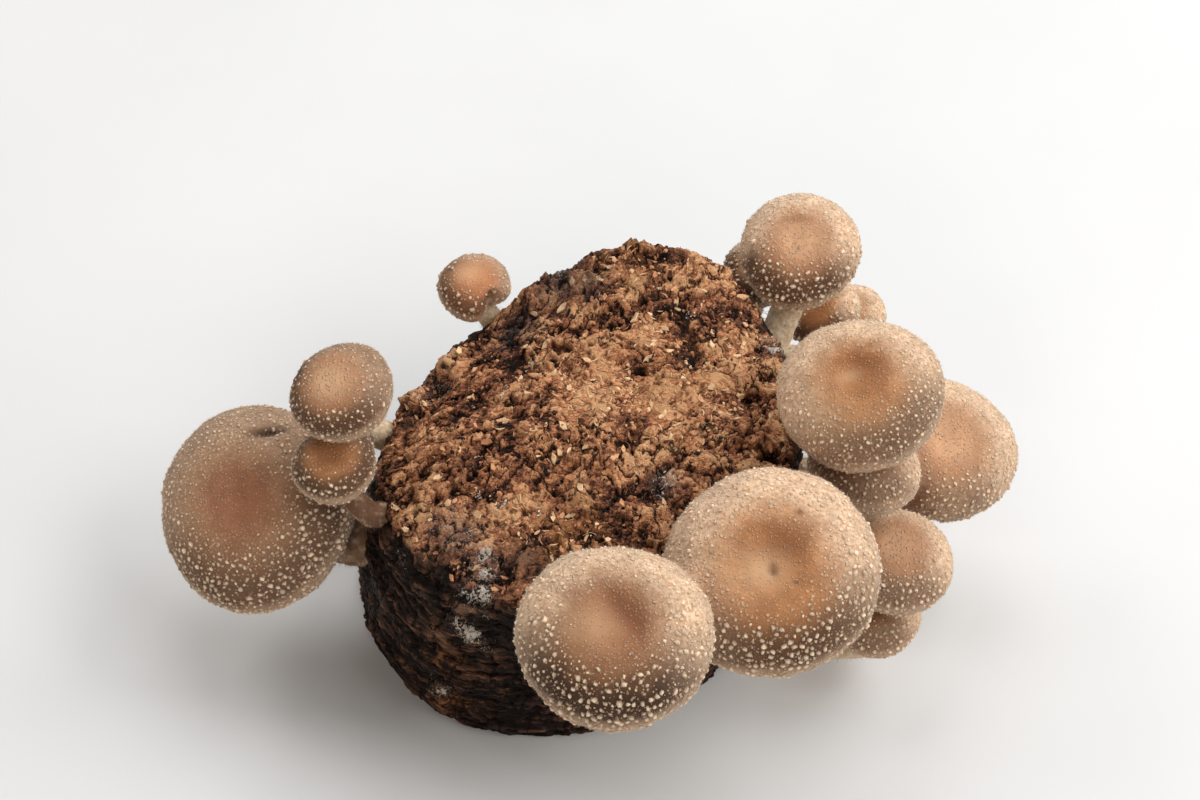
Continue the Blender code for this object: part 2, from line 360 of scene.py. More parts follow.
def face_outwards(mesh: Mesh) -> None:
    """Turn the faces of a closed mesh outwards."""
    builder = bmesh.new()
    builder.from_mesh(mesh)
    bmesh.ops.recalc_face_normals(builder, faces=builder.faces)
    builder.to_mesh(mesh)
    builder.free()


def set_numbers(mesh: Mesh, **named: Array) -> None:
    """Store numbers or vectors on the vertices of a mesh.

    Args:
        mesh: The mesh.
        **named: One value or row for each vertex, by attribute name.
    """
    for name, values in named.items():
        kind, field = ("FLOAT_VECTOR", "vector") if values.ndim == 2 else ("FLOAT", "value")
        attribute = mesh.attributes.new(name, kind, "POINT")
        attribute.data.foreach_set(field, values.astype(np.float32).ravel())


def turns(count: int) -> Array:
    """Give angles spaced evenly round a circle."""
    return np.arange(count) / count * math.tau


def columns(*parts: object) -> Array:
    """Set numbers or arrays side by side, one column each."""
    return np.stack(np.broadcast_arrays(*parts), axis=-1)


def around(radius: Array, angle: Array, height: object) -> Array:
    """Give points by their distance from the axis, angle and height."""
    return columns(radius * np.cos(angle), radius * np.sin(angle), height)


def band(low: int, high: int, count: int, flipped: bool = False,
         closed: bool = True) -> list[tuple[int, ...]]:
    """Give the faces between two rows of points.

    Args:
        low: Number of the first row's first point.
        high: Number of the second row's first point.
        count: Points in a row.
        flipped: Whether the faces look the other way.
        closed: Whether the rows are rings.

    Returns:
        Four point numbers for each face.
    """
    faces = []
    for i in range(count if closed else count - 1):
        j = (i + 1) % count
        corners = (low + i, low + j, high + j, high + i)
        faces.append((corners[0], *reversed(corners[1:])) if flipped else corners)
    return faces


def smooth(values: Array, low: float, high: float) -> Array:
    """Rise smoothly from 0 at low to 1 at high."""
    share = np.clip((values - low) / (high - low), 0.0, 1.0)
    return share * share * (3 - 2 * share)


def lumps(points: Array, size: float, offset: float = 0.0) -> Array:
    """Read smooth noise, about -1 to 1, at each point, in lumps of a size."""
    return np.array([noise.noise(row) for row in (points / size + offset).tolist()])


def round_trip(values: tuple[float, ...], angle: Array) -> Array:
    """Read a smooth closed curve through values spaced evenly round a circle.

    Args:
        values: The values, from +X through +Y.
        angle: Angles in radians.

    Returns:
        One number for each angle.
    """
    table = np.array(values, float)
    place = (angle / math.tau * len(table)) % len(table)
    k = np.floor(place).astype(int)
    t = place - k
    before, here, after, beyond = (table[(k + step) % len(table)] for step in (-1, 0, 1, 2))
    slope_here = (after - before) / 2
    slope_after = (beyond - here) / 2
    return (here * (2 * t**3 - 3 * t**2 + 1) + slope_here * (t**3 - 2 * t**2 + t)
            + after * (3 * t**2 - 2 * t**3) + slope_after * (t**3 - t**2))


class Shape(Enum):
    """Small shapes that are scattered over a surface, all about one unit across."""

    CRUMB = "crumb"
    FLAKE = "flake"
    SPLINTER = "splinter"
    THREAD = "thread"
    FLECK = "fleck"
    DOT = "dot"
    HAIR = "hair"


class ShapeBox:
    """A collection of varied copies of one small shape, for a scatter to pick from."""

    def __init__(self, shape: Shape, count: int, seed: int) -> None:
        """Make the copies.

        Args:
            shape: Which shape.
            count: Number of different copies.
            seed: Seed of their differences.
        """
        self.dice = np.random.default_rng(seed)
        self.collection = bpy.data.collections.new(f"box_{shape.value}")
        makers = {Shape.CRUMB: self.crumb, Shape.FLAKE: self.flake, Shape.SPLINTER: self.splinter,
                  Shape.THREAD: self.thread, Shape.FLECK: self.fleck, Shape.DOT: self.dot,
                  Shape.HAIR: self.hair}
        for number in range(count):
            mesh = makers[shape]()
            self.collection.objects.link(bpy.data.objects.new(f"{shape.value}_{number}", mesh))

    def remove(self) -> None:
        """Delete the copies once the scatters are done."""
        for item in list(self.collection.objects):
            bpy.data.objects.remove(item)
        bpy.data.collections.remove(self.collection)

    def closed(self, rings: list[Array], tip: Array | None = None) -> Mesh:
        """Skin rings of points from bottom to top, and close both ends.

        Args:
            rings: Rings of equal length.
            tip: A point above the last ring, or None for a flat end.

        Returns:
            The mesh, in its own unit, with the height share of each vertex as "rise".
        """
        count = len(rings[0])
        points = np.vstack(rings + ([tip[None, :]] if tip is not None else []))
        faces = [tuple(reversed(range(count)))]
        for k in range(len(rings) - 1):
            faces += band(k * count, (k + 1) * count, count)
        last = (len(rings) - 1) * count
        if tip is None:
            faces.append(tuple(range(last, last + count)))
        else:
            faces.extend((last + i, last + (i + 1) % count, len(points) - 1) for i in range(count))
        mesh = bpy.data.meshes.new("small_shape")
        mesh.from_pydata(points.tolist(), [], faces)
        face_outwards(mesh)
        shares = np.repeat(np.linspace(0, 1, len(rings) + (tip is not None)), count)[:len(points)]
        if tip is not None:
            shares[-1] = 1.0
        set_numbers(mesh, rise=shares)
        return mesh

    def ring(self, count: int, width: float, depth: float, height: float, rough: float,
             shift: Pair = (0.0, 0.0)) -> Array:
        """Make one uneven ring of points.

        Args:
            count: Number of points.
            width: Radius along X.
            depth: Radius along Y.
            height: Height of the ring.
            rough: Unevenness, as a share.
            shift: Centre of the ring.

        Returns:
            The points, one row each.
        """
        angle = turns(count)
        wobble = 1 + rough * self.dice.uniform(-1, 1, count)
        level = height + rough * 0.25 * self.dice.uniform(-1, 1, count)
        return columns(shift[0] + width * wobble * np.cos(angle),
                       shift[1] + depth * wobble * np.sin(angle), level)

    def crumb(self) -> Mesh:
        """A jagged lump of pressed sawdust."""
        rings = [self.ring(5, 0.50, 0.42, -0.20, 0.28), self.ring(5, 0.40, 0.34, 0.22, 0.30)]
        return self.closed(rings, np.array([0.05, 0.02, 0.40]))

    def flake(self) -> Mesh:
        """A thin, bent chip of wood."""
        low = self.ring(5, 0.52, 0.34, -0.05, 0.34)
        high = low * (0.9, 0.9, 1.0) + (0.0, 0.0, 0.13)
        low[:, 2] += 0.22 * low[:, 0] ** 2
        high[:, 2] += 0.22 * high[:, 0] ** 2
        return self.closed([low, high])

    def splinter(self) -> Mesh:
        """A long tapered shaving, bent along its length."""
        bend = self.dice.uniform(-0.16, 0.16)
        rings = []
        angle = turns(4) + 0.4
        for share, width in ((0.0, 0.4), (0.35, 1.0), (0.7, 0.85), (1.0, 0.3)):
            rings.append(columns(share - 0.5, bend * np.sin(math.pi * share) + 0.085 * width * np.cos(angle),
                                 0.05 * width * np.sin(angle) + 0.06 * math.sin(math.pi * share)))
        return self.closed(rings)

    def thread(self) -> Mesh:
        """A fine curled fibre."""
        turn = self.dice.uniform(-2.4, 2.4)
        lift = self.dice.uniform(0.05, 0.3)
        heading = 0.0
        centre = np.array([-0.5, 0.0, 0.0])
        rings = []
        steps = 6
        for k in range(steps + 1):
            share = k / steps
            heading += turn / steps + self.dice.uniform(-0.35, 0.35)
            step = np.array([math.cos(heading), math.sin(heading), lift * math.cos(math.pi * share)])
            centre = centre + step / steps
            side = np.array([-math.sin(heading), math.cos(heading), 0.0])
            width = 0.022 * (1.0 - 0.7 * share)
            spokes = ((1.0, 0.0), (-0.5, 0.87), (-0.5, -0.87))
            up = np.array([0.0, 0.0, 1.0])
            rings.append(np.array([centre + width * (a * side + b * up) for a, b in spokes]))
        return self.closed(rings)

    def fleck(self) -> Mesh:
        """A raised tuft of cap scale, whose tip leans away from the crown along +X."""
        wide = self.dice.uniform(0.8, 1.35)
        side = self.dice.uniform(-0.15, 0.15)
        bow = self.dice.uniform(-0.55, 0.35)
        rings = [self.ring(6, 0.50, 0.50 * wide, -0.20, 0.24),
                 self.ring(6, 0.34, 0.34 * wide, 0.20, 0.36, (0.12, side))]
        for ring in rings:
            ring[:, 0] += bow * ring[:, 1] ** 2
        return self.closed(rings, np.array([0.20, side, 0.42]))

    def dot(self) -> Mesh:
        """A small rounded grain of cap scale."""
        return self.closed([self.ring(4, 0.58, 0.52, -0.15, 0.2)], np.array([0.06, 0.0, 0.30]))

    def hair(self) -> Mesh:
        """A fine hair that stands up and leans over along +X."""
        lean = self.dice.uniform(0.2, 0.9)
        side = self.dice.uniform(-0.3, 0.3)
        return self.closed([around(0.075, turns(3), -0.08)], np.array([lean, side, 1.0]))


@dataclass(frozen=True)
class Layer:
    """One layer of small shapes on a surface, with its sizes in millimetres.

    The room and the size name the attributes that say where the shapes may lie
    and how large they are there.
    """

    name: str
    shape: Shape
    room: str
    spacing: float
    low: float
    high: float
    size: str = "even"
    spin: float = math.pi
    sink: float = 0.0
    lean: float = 0.0
    flat: float = 1.0
    thin: float = 1.0
    hue: float = 0.0


class ScatterTree(GrowthTree):
    """Scatters layers of small shapes over a mesh and turns them into one mesh.

    The mesh has an attribute for the room of each layer, from 0 to 1, one for
    the size of its shapes, and the vector "outward" that their +X side follows.
    """

    def __init__(self, name: str, layers: list[Layer], boxes: dict[Shape, ShapeBox]) -> None:
        """Build the tree.

        Args:
            name: Name of the tree.
            layers: The layers.
            boxes: The small shapes.
        """
        super().__init__(name)
        joined = self.add("GeometryNodeJoinGeometry")
        for number, layer in enumerate(layers):
            spacing = self.input(f"{layer.name} spacing", value=layer.spacing * MM)
            grain = self.input(f"{layer.name} size", value=MM)
            made = self.layer(layer, boxes[layer.shape], spacing, grain, 100 * number)
            self.tree.links.new(made, joined.inputs[0])
        self.close(joined.outputs[0])

    def layer(self, layer: Layer, box: ShapeBox, spacing: Socket,
              grain: Socket, seed: int) -> Socket:
        """Scatter one layer.

        Args:
            layer: The layer.
            box: Its small shapes.
            spacing: Least distance between two of them.
            grain: Size of a shape whose size attribute is 1.
            seed: Own seed of the layer.

        Returns:
            The layer's instances.
        """
        density = self.math("DIVIDE", 3.0, self.times(spacing, spacing))
        points = self.add("GeometryNodeDistributePointsOnFaces", {
            "Mesh": self.entry.outputs["Geometry"], "Distance Min": spacing, "Density Max": density,
            "Density Factor": self.named(layer.room), "Seed": self.math("ADD", self.seed, float(seed)),
        }, distribute_method="POISSON")
        upright = self.give("FunctionNodeAlignRotationToVector", {"Vector": points.outputs["Normal"]},
                            axis="Z")
        headed = self.give("FunctionNodeAlignRotationToVector", {
            "Rotation": upright, "Vector": self.named("outward", "FLOAT_VECTOR"),
        }, axis="X", pivot_axis="Z")
        turn = self.triple(self.random(-layer.lean, layer.lean, seed + 1),
                           self.random(-layer.lean, layer.lean, seed + 2),
                           self.random(-layer.spin, layer.spin, seed + 3))
        turned = self.give("FunctionNodeRotateRotation", {"Rotation": headed, "Rotate By": turn},
                           rotation_space="LOCAL")
        own = self.times(self.random(layer.low, layer.high, seed + 4), self.named(layer.size))
        size = self.times(own, grain)
        width = self.times(size, self.random(0.75 * layer.thin, 1.15 * layer.thin, seed + 5))
        height = self.times(size, self.random(0.7 * layer.flat, 1.2 * layer.flat, seed + 6))
        scale = self.triple(size, width, height)
        source = self.give("GeometryNodeCollectionInfo", {
            "Collection": box.collection, "Separate Children": True, "Reset Children": True})
        pick = self.add("FunctionNodeRandomValue", {
            4: 0, 5: len(box.collection.objects) - 1, "Seed": self.math("ADD", self.seed, seed + 7.0)},
            data_type="INT")
        placed = self.give("GeometryNodeInstanceOnPoints", {
            "Points": points.outputs["Points"], "Instance": source, "Pick Instance": True,
            "Instance Index": pick.outputs[2], "Rotation": turned, "Scale": scale})
        drop = self.triple(z=self.times(size, -layer.sink))
        sunk = self.give("GeometryNodeTranslateInstances", {
            "Instances": placed, "Translation": drop, "Local Space": True})
        toned = self.store(sunk, "tone", self.random(0.0, 1.0, seed + 8), domain="INSTANCE")
        return self.store(toned, "hue", layer.hue, domain="INSTANCE")


class SurfaceSheet(NodeSheet):
    """Nodes of a new material, which read numbers and places stored on the surface's vertices."""

    def __init__(self, name: str) -> None:
        """Start the material, with a Principled shader."""
        self.material = bpy.data.materials.new(name)
        self.material.use_nodes = True
        super().__init__(self.material.node_tree)

    def shade(self, colour: Socket, rough: object, gloss: object = 0.5, **inputs: object) -> Material:
        """End the material.

        Args:
            colour: Its colour.
            rough: Its roughness.
            gloss: Its specular level.
            **inputs: The shader's other inputs, with underscores for spaces.

        Returns:
            The material.
        """
        inputs |= {"Base Color": colour, "Roughness": rough, "Specular IOR Level": gloss}
        for name, value in inputs.items():
            self.feed(self.tree.nodes["Principled BSDF"].inputs[name.replace("_", " ")], value)
        return self.material

    def number(self, name: str) -> Socket:
        """Read a number stored on the surface."""
        return self.add("ShaderNodeAttribute", attribute_name=name).outputs["Fac"]

    def place(self, name: str) -> Socket:
        """Read a place stored on the surface."""
        return self.add("ShaderNodeAttribute", attribute_name=name).outputs["Vector"]

    def millimetres(self) -> Socket:
        """Give the place on the object, in millimetres."""
        coordinates = self.add("ShaderNodeTexCoord").outputs["Object"]
        return self.stretched(coordinates, (1 / MM, 1 / MM, 1 / MM))

    def bump(self, height: object, distance: float, strength: float = 1.0) -> Socket:
        """Turn a height pattern, of a distance in millimetres, into a normal."""
        return self.give("ShaderNodeBump", {
            "Height": height, "Distance": distance * MM, "Strength": strength})


@dataclass
class CrustPattern:
    """Heights, crevices and tones of the crust, for the tree that moves it and the one that colours it.

    Attributes:
        sheet: The geometry or shader tree.
        place: Place on the smooth form, in millimetres.
        shavings: Share of shavings there, which calms the crumbs.

    Sizes are in millimetres, and a slope is how much a plate leans.
    """

    sheet: NodeSheet
    place: Socket
    shavings: Socket
    wide_plate: float = 9.0
    wide_slope: float = 0.26
    small_plate: float = 3.9
    small_slope: float = 0.32
    broad_crack: float = 13.0
    fine_crack: float = 5.5
    hollow: float = 5.5
    layer: float = 3.0
    layer_lump: float = 4.2
    fold: float = 5.0
    lump: float = 9.0
    grain: float = 0.9
    crack_roughness: float = 0.55

    def __post_init__(self) -> None:
        """Lay out the coordinates."""
        sheet = self.sheet
        self.calm = sheet.span(self.shavings, 0.2, 0.9, 1.0, 0.45)
        self.swayed = sheet.sway(sheet.sway(self.place, 9.0, 7.0), 2.4, 1.5)
        self.grit = sheet.math("SUBTRACT", sheet.noise(self.place, self.grain, detail=3.0, rough=0.6), 0.5)

    def plates(self, size: float, slope: float) -> tuple[Socket, ...]:
        """Give tilted, broken plates.

        Args:
            size: Size of a plate.
            slope: How much a plate leans.

        Returns:
            The height, about -0.5 to 0.5, the distance to the plate's edge, and a random tone.
        """
        sheet = self.sheet
        place = sheet.stretched(self.swayed, (0.75, 1.0, 1.0))
        cell = sheet.cells(place, size)
        edge = sheet.cells(place, size, "DISTANCE_TO_EDGE").outputs["Distance"]
        inside = sheet.vector("SUBTRACT", place, cell.outputs["Position"])
        lean = sheet.vector("SUBTRACT", cell.outputs["Color"], (0.5, 0.5, 0.5))
        dot = sheet.add("ShaderNodeVectorMath", {0: inside, 1: lean}, operation="DOT_PRODUCT")
        parts = sheet.parts(cell.outputs["Color"])
        height = sheet.total((parts[0], 1.0), (dot.outputs["Value"], slope), (-0.5, 1.0))
        return height, edge, parts[1]

    def crumbs(self) -> tuple[Socket, ...]:
        """Give the crumbly, cracked surface of the top.

        Returns:
            Height in millimetres, openness of the cracks, and tone of the plates.
        """
        sheet = self.sheet
        body = sheet.noise(self.place, self.lump, detail=4.0, rough=0.58)
        wide, wide_edge, wide_tone = self.plates(self.wide_plate, self.wide_slope)
        small, small_edge, small_tone = self.plates(self.small_plate, self.small_slope)
        mask = sheet.noise(self.place, 5.0)
        broad_crack = sheet.net(self.place, self.broad_crack, 4.0, self.crack_roughness)
        fine_crack = sheet.net(self.swayed, self.fine_crack, 3.0, self.crack_roughness)
        hollow = sheet.span(sheet.noise(self.place, self.hollow, detail=4.0, rough=0.62), 0.59, 0.67)
        wide_open = sheet.most(sheet.span(wide_edge, 0.0, 0.09), sheet.span(mask, 0.70, 0.60))
        small_open = sheet.most(sheet.span(small_edge, 0.0, 0.11), sheet.span(mask, 0.42, 0.52))
        broad_open = sheet.span(broad_crack, 0.0, 0.022)
        fine_open = sheet.most(sheet.span(fine_crack, 0.0, 0.035), sheet.span(mask, 0.56, 0.48, 0.0, 0.8))
        height = sheet.total((body, 3.8), (wide, 1.6), (small, 0.75), (wide_open, 1.3), (small_open, 0.6),
                             (broad_open, 1.1), (fine_open, 0.4), (-4.95, 1.0))
        height = sheet.total((sheet.times(height, self.calm), 1.0), (self.grit, 0.35),
                             (hollow, -1.4), (-0.4, 1.0))
        crevice = sheet.least(sheet.least(wide_open, broad_open),
                             sheet.least(sheet.span(small_open, 0.0, 1.0, 0.4, 1.0),
                                        sheet.span(fine_open, 0.0, 1.0, 0.5, 1.0)))
        crevice = sheet.least(crevice, sheet.span(hollow, 0.2, 1.0, 1.0, 0.0))
        shown = sheet.lerp(sheet.span(self.calm, 0.4, 1.0, 0.5, 0.0), crevice, 1.0)
        tone = sheet.total((wide_tone, 0.30), (small_tone, 0.35), (body, 0.9), (-0.325, 1.0))
        return height, shown, tone

    def strata(self) -> tuple[Socket, ...]:
        """Give the pressed, wrinkled layers of the wall.

        Returns:
            Height in millimetres, openness of the wrinkles, and tone of the layers.
        """
        sheet = self.sheet
        flow = sheet.sway(self.place, 18.0, 14.0)
        level = sheet.sway(sheet.stretched(flow, (0.13, 0.13, 1.0)), 2.2, 0.9)
        wide = sheet.noise(level, self.layer_lump, rough=0.6)
        layers = sheet.net(level, self.layer, 4.0, self.crack_roughness)
        upright = sheet.stretched(self.swayed, (0.5, 0.5, 0.22))
        folds = sheet.net(upright, self.fold, 3.0, self.crack_roughness)
        body = sheet.noise(self.place, self.lump, detail=4.0, rough=0.6)
        layers_open = sheet.span(layers, 0.0, 0.055)
        folds_open = sheet.span(folds, 0.0, 0.035)
        height = sheet.total((wide, 4.2), (layers_open, 1.0), (folds_open, 0.9), (body, 4.4),
                             (self.grit, 1.3), (-6.5, 1.0))
        crevice = sheet.least(sheet.span(layers_open, 0.0, 1.0, 0.1, 1.0),
                             sheet.span(folds_open, 0.0, 1.0, 0.15, 1.0))
        tone = sheet.total((wide, 1.1), (body, 0.7), (-0.4, 1.0))
        return height, crevice, tone


@dataclass(frozen=True)
class SubstrateFinish:
    """Colours of the sawdust block: its crumbs, shavings, wet wall and white threads, with painted shade in
    its cracks.
    """

    black: Colour = (0.007, 0.003, 0.0016, 1.0)
    deep_shade: Colour = (0.015, 0.0055, 0.0026, 1.0)
    brown: Colour = (0.130, 0.049, 0.025, 1.0)
    rust: Colour = (0.34, 0.126, 0.058, 1.0)
    tan: Colour = (0.64, 0.292, 0.136, 1.0)
    gold: Colour = (0.88, 0.49, 0.245, 1.0)
    pale: Colour = (0.86, 0.59, 0.34, 1.0)
    white: Colour = (0.80, 0.73, 0.64, 1.0)
    slate: Colour = (0.078, 0.064, 0.062, 1.0)
    wet: Colour = (0.014, 0.0065, 0.004, 1.0)
    bark: Colour = (0.075, 0.032, 0.017, 1.0)
    dry: Colour = (0.22, 0.115, 0.065, 1.0)
    russet: Colour = (0.26, 0.095, 0.030, 1.0)
    ember: Colour = (0.42, 0.185, 0.065, 1.0)
    broad_size: float = 9.0
    fine_size: float = 1.5
    grain_size: float = 0.45
    vein_size: float = 2.4
    grit_size: float = 0.5
    film_size: float = 3.0
    film_cover: float = 0.85
    hole_size: float = 0.8
    bit_size: float = 0.8

    def crust(self) -> Material:
        """Material of the block's crust."""
        sheet = SurfaceSheet("substrate_crust")
        place = sheet.millimetres()
        rest = sheet.place("rest")
        top = sheet.number("top")
        crest = sheet.number("crest")
        pattern = CrustPattern(sheet, rest, sheet.number("shavings"))
        crumb_height, crumb_open, crumb_tone = pattern.crumbs()
        layer_height, layer_open, layer_tone = pattern.strata()
        fine = sheet.noise(place, self.fine_size, detail=5.0, rough=0.72)
        broad = sheet.noise(rest, self.broad_size, detail=4.0, rough=0.6)
        grains = sheet.noise(sheet.stretched(place, (0.6, 1.0, 1.0)), self.grain_size, detail=4.0, rough=0.75)
        grains = sheet.span(grains, 0.34, 0.66)
        # The crest share lightens higher crumbs and darkens lower ones, as painted light and shade.
        tone = sheet.total((crumb_tone, 0.68), (sheet.span(fine, 0.30, 0.70), 0.44), (grains, 0.32),
                           (broad, 0.46), (crest, 0.64), (sheet.number("shavings"), 0.44), (-0.765, 1.0))
        crumbs = sheet.ramp(tone, [(0.13, self.deep_shade), (0.32, self.brown), (0.52, self.rust),
                                   (0.74, self.tan), (0.94, self.gold)])
        veins = sheet.noise(sheet.stretched(rest, (0.25, 0.25, 1.5)), self.vein_size, detail=5.0, rough=0.66)
        # On the wall the crest share lightens ridge tops as painted highlight.
        bark = sheet.ramp(sheet.total((layer_tone, 0.35), (veins, 1.0), (fine, 0.35), (crest, 0.30),
                                      (-0.46, 1.0)),
                          [(0.38, self.black), (0.54, self.wet), (0.67, self.bark), (0.86, self.dry)])
        colour = sheet.tint(top, bark, crumbs)
        rusty = sheet.times(sheet.number("rust"), sheet.span(broad, 0.40, 0.56))
        colour = sheet.tint(rusty, colour, self.rust_glow(sheet, fine))
        smoky = sheet.times(sheet.number("slate"), sheet.span(fine, 0.35, 0.60, 0.3, 0.9))
        colour = sheet.tint(smoky, colour, self.slate)
        # Painted shade: open cracks on top and wrinkles on the wall are darkened towards black.
        colour = sheet.tint(sheet.span(sheet.lerp(top, layer_open, crumb_open), 0.0, 1.0, 0.9, 0.0),
                            colour, sheet.tint(top, self.black, self.deep_shade))
        colour = sheet.tint(self.film(sheet, place, rest), colour, self.white)
        rough = sheet.lerp(top, sheet.span(fine, 0.3, 0.7, 0.35, 0.7), sheet.span(fine, 0.3, 0.7, 0.7, 0.95))
        gloss = sheet.span(top, 0.0, 1.0, 0.16, 0.22)
        grit = sheet.noise(place, self.grit_size, detail=3.0, rough=0.65)
        height = sheet.lerp(top, sheet.total((layer_height, 0.55), (veins, 1.6)),
                            sheet.total((crumb_height, 1.0), (grit, 0.9), (grains, 0.10), (fine, 0.9)))
        return sheet.shade(colour, rough, gloss, Normal=sheet.bump(height, 1.0, 0.9))

    def film(self, sheet: SurfaceSheet, place: Socket,
             rest: Socket) -> Socket:
        """Give the cover of the white film of mycelium, torn and fibrous.

        Args:
            sheet: The material's sheet.
            place: Place on the object, in millimetres.
            rest: Place on the smooth form, in millimetres.

        Returns:
            The cover, from 0 to 1.
        """
        cloud = sheet.noise(sheet.stretched(rest, (1.2, 1.2, 0.7)), self.film_size, detail=6.0,
                            rough=0.75, distortion=0.9)
        holes = sheet.noise(place, self.hole_size, detail=3.0, rough=0.7)
        reach = sheet.number("mycelium")
        wisps = sheet.net(sheet.stretched(sheet.sway(rest, 4.0, 3.0), (1.0, 1.0, 0.6)), 2.2, 4.0, 0.6)
        body = sheet.total((cloud, 1.1), (holes, 0.25), (reach, 0.60), (wisps, -2.2))
        film = sheet.times(sheet.span(body, 0.96, 1.06), sheet.span(holes, 0.32, 0.48, 0.5, 1.0))
        specks = sheet.times(sheet.span(holes, 0.58, 0.68), sheet.span(reach, 0.04, 0.4))
        cover = sheet.most(sheet.times(film, sheet.span(reach, 0.1, 0.4)),
                           sheet.times(specks, 0.5))
        return sheet.times(cover, self.film_cover)

    def rust_glow(self, sheet: SurfaceSheet, fine: Socket) -> Socket:
        """Give the orange of fresh sawdust."""
        return sheet.ramp(fine, [(0.25, self.brown), (0.45, self.russet), (0.65, self.ember),
                                 (0.85, self.tan)])

    def bits(self) -> Material:
        """Material of the loose crumbs, flakes and shavings."""
        sheet = SurfaceSheet("substrate_bits")
        place = sheet.millimetres()
        fine = sheet.noise(place, self.bit_size, detail=3.0, rough=0.6)
        tone = sheet.total((sheet.number("tone"), 0.80), (fine, 0.40), (sheet.number("shavings"), 0.24),
                           (sheet.number("hue"), 1.0), (-0.24, 1.0))
        colour = sheet.ramp(tone, [(0.10, self.black), (0.26, self.brown), (0.50, self.rust),
                                   (0.72, self.tan), (0.92, self.pale)])
        colour = sheet.tint(sheet.span(sheet.number("hue"), 0.55, 0.75), colour, self.white)
        smoky = sheet.times(sheet.number("slate"), 0.7)
        colour = sheet.tint(smoky, colour, self.slate)
        colour = sheet.tint(sheet.span(sheet.number("top"), 0.2, 0.8, 0.7, 0.0), colour, self.wet)
        grain = sheet.noise(place, 0.3)
        return sheet.shade(colour, 0.82, 0.3, Normal=sheet.bump(grain, 0.25, 0.8))

    def threads(self) -> Material:
        """Material of the fine fibres, golden to white by their tone."""
        sheet = SurfaceSheet("substrate_threads")
        tone = sheet.total((sheet.number("tone"), 0.5), (sheet.number("hue"), 1.0))
        colour = sheet.ramp(tone, [(0.0, self.rust), (0.25, self.tan), (0.5, self.pale), (0.9, self.white)])
        return sheet.shade(colour, 0.7)


# Places on the block with a look of their own: x, y, z and size in millimetres, and strength.
PATCHES: dict[str, tuple[tuple[float, ...], ...]] = {
    "bit": ((-24, 9, 73, 2.2, 1), (-19, 7, 75, 1.8, 1), (-15, 19, 75, 2.0, 1), (24, -26, 75, 3.0, 1),
        (56, 27, 77, 3.5, 1), (16, 20, 82, 1.6, 1), (32, 30, 85, 2.0, 1), (38, 39, 87, 1.6, 1),
        (42, 18, 80, 1.6, 1), (59, 22, 76, 2.2, 1), (-23, -36, 75, 2.4, 1), (-12, -38, 74, 2.0, 1),
        (-30, -30, 74, 1.8, 1), (-40, -22, 72, 1.6, 1), (8, -12, 79, 1.4, 1)),
    "chip": ((23, 49, 90, 2.5, 1), (-1, 6, 79, 2.0, 1), (41, 23, 82, 3.0, 1), (42, 17, 80, 2.5, 1),
        (-4, -19, 79, 1.6, 1), (30, 28, 85, 2.5, 1), (36, 2, 78, 2.5, 1)),
    "mycelium": ((-40, -38, 71, 7, 0.42), (-33, -44, 71, 7, 0.45), (-27, -50, 71, 4, 0.8),
        (-27, -56, 69, 4, 0.9), (-28, -61, 65, 4, 1), (-32, -60, 63, 4, 0.8), (-28, -63, 58, 3, 0.5),
        (-36, -60, 50, 4, 0.9), (-32, -61, 47, 4, 0.9), (-27, -62, 44, 3, 0.6), (-43, -56, 14, 4.5, 0.7),
        (-47, -50, 52, 3.5, 0.55), (-52, -42, 60, 3, 0.6), (-50, -45, 56, 2.5, 0.5),
        (-44, 22, 62, 9, 0.45), (24, -26, 75, 4, 0.7), (57, 25, 77, 5, 0.7), (-7, 56, 78, 5, 0.6),
        (-10, 66, 40, 10, 0.45), (40, 52, 50, 8, 0.45)),
    "rust": ((-40, -53, 63, 5, 1), (-9, -47, 73, 12, 1), (0, -41, 74, 8, 1), (-41, -58, 31, 6, 0.8),
        (-39, -57, 11, 6, 0.6), (14, 55, 88, 13, 0.8), (-2, -18, 78, 9, 0.5), (20, 10, 80, 20, 0.45)),
    "shavings": ((4, 6, 79, 17, 1), (22, 2, 79, 14, 1), (38, 5, 79, 10, 1), (20, 24, 82, 8, 0.8),
        (48, 21, 79, 9, 0.7), (-19, -38, 74, 9, 0.8), (38, 38, 86, 7, 0.5), (10, 44, 87, 12, 0.7),
        (30, 46, 88, 10, 0.65), (-6, -46, 72, 8, 0.6)),
    "slate": ((-19, 38, 70, 8, 1), (-8, 50, 78, 9, 1), (2, 45, 83, 6, 1), (-17, -52, 71, 6, 0.8),
        (24, -26, 75, 5, 0.6), (-35, -44, 70, 8, 0.9), (-28, -53, 68, 6, 0.9)),
}


class CrustTree(GrowthTree):
    """Breaks the block's smooth form into crumbs on top and pressed layers on the wall."""

    def __init__(self) -> None:
        """Build the tree, with its sizes as named inputs."""
        super().__init__("crust")
        relief = self.input("Crumb relief", value=1.0)
        layers = self.input("Layer relief", value=1.0)
        place = self.stretched(self.give("GeometryNodeInputPosition"), (1 / MM, 1 / MM, 1 / MM))
        pattern = CrustPattern(self, place, self.named("shavings"))
        top_height = pattern.crumbs()[0]
        wall_height = pattern.strata()[0]
        top = self.named("top")
        height = self.lerp(top, self.times(wall_height, layers), self.times(top_height, relief))
        # Height share, which the crust's material turns into painted light on higher places and painted shade
        # on lower ones.
        crest = self.span(height, -2.2, 1.2)
        faded = self.times(height, self.named("fade"))
        push = self.named("push", "FLOAT_VECTOR")
        spread = self.scaled(push, self.times(faded, MM))
        geometry = self.store(self.entry.outputs["Geometry"], "rest", place, "FLOAT_VECTOR")
        geometry = self.store(geometry, "crest", crest)
        self.moved(geometry, spread)


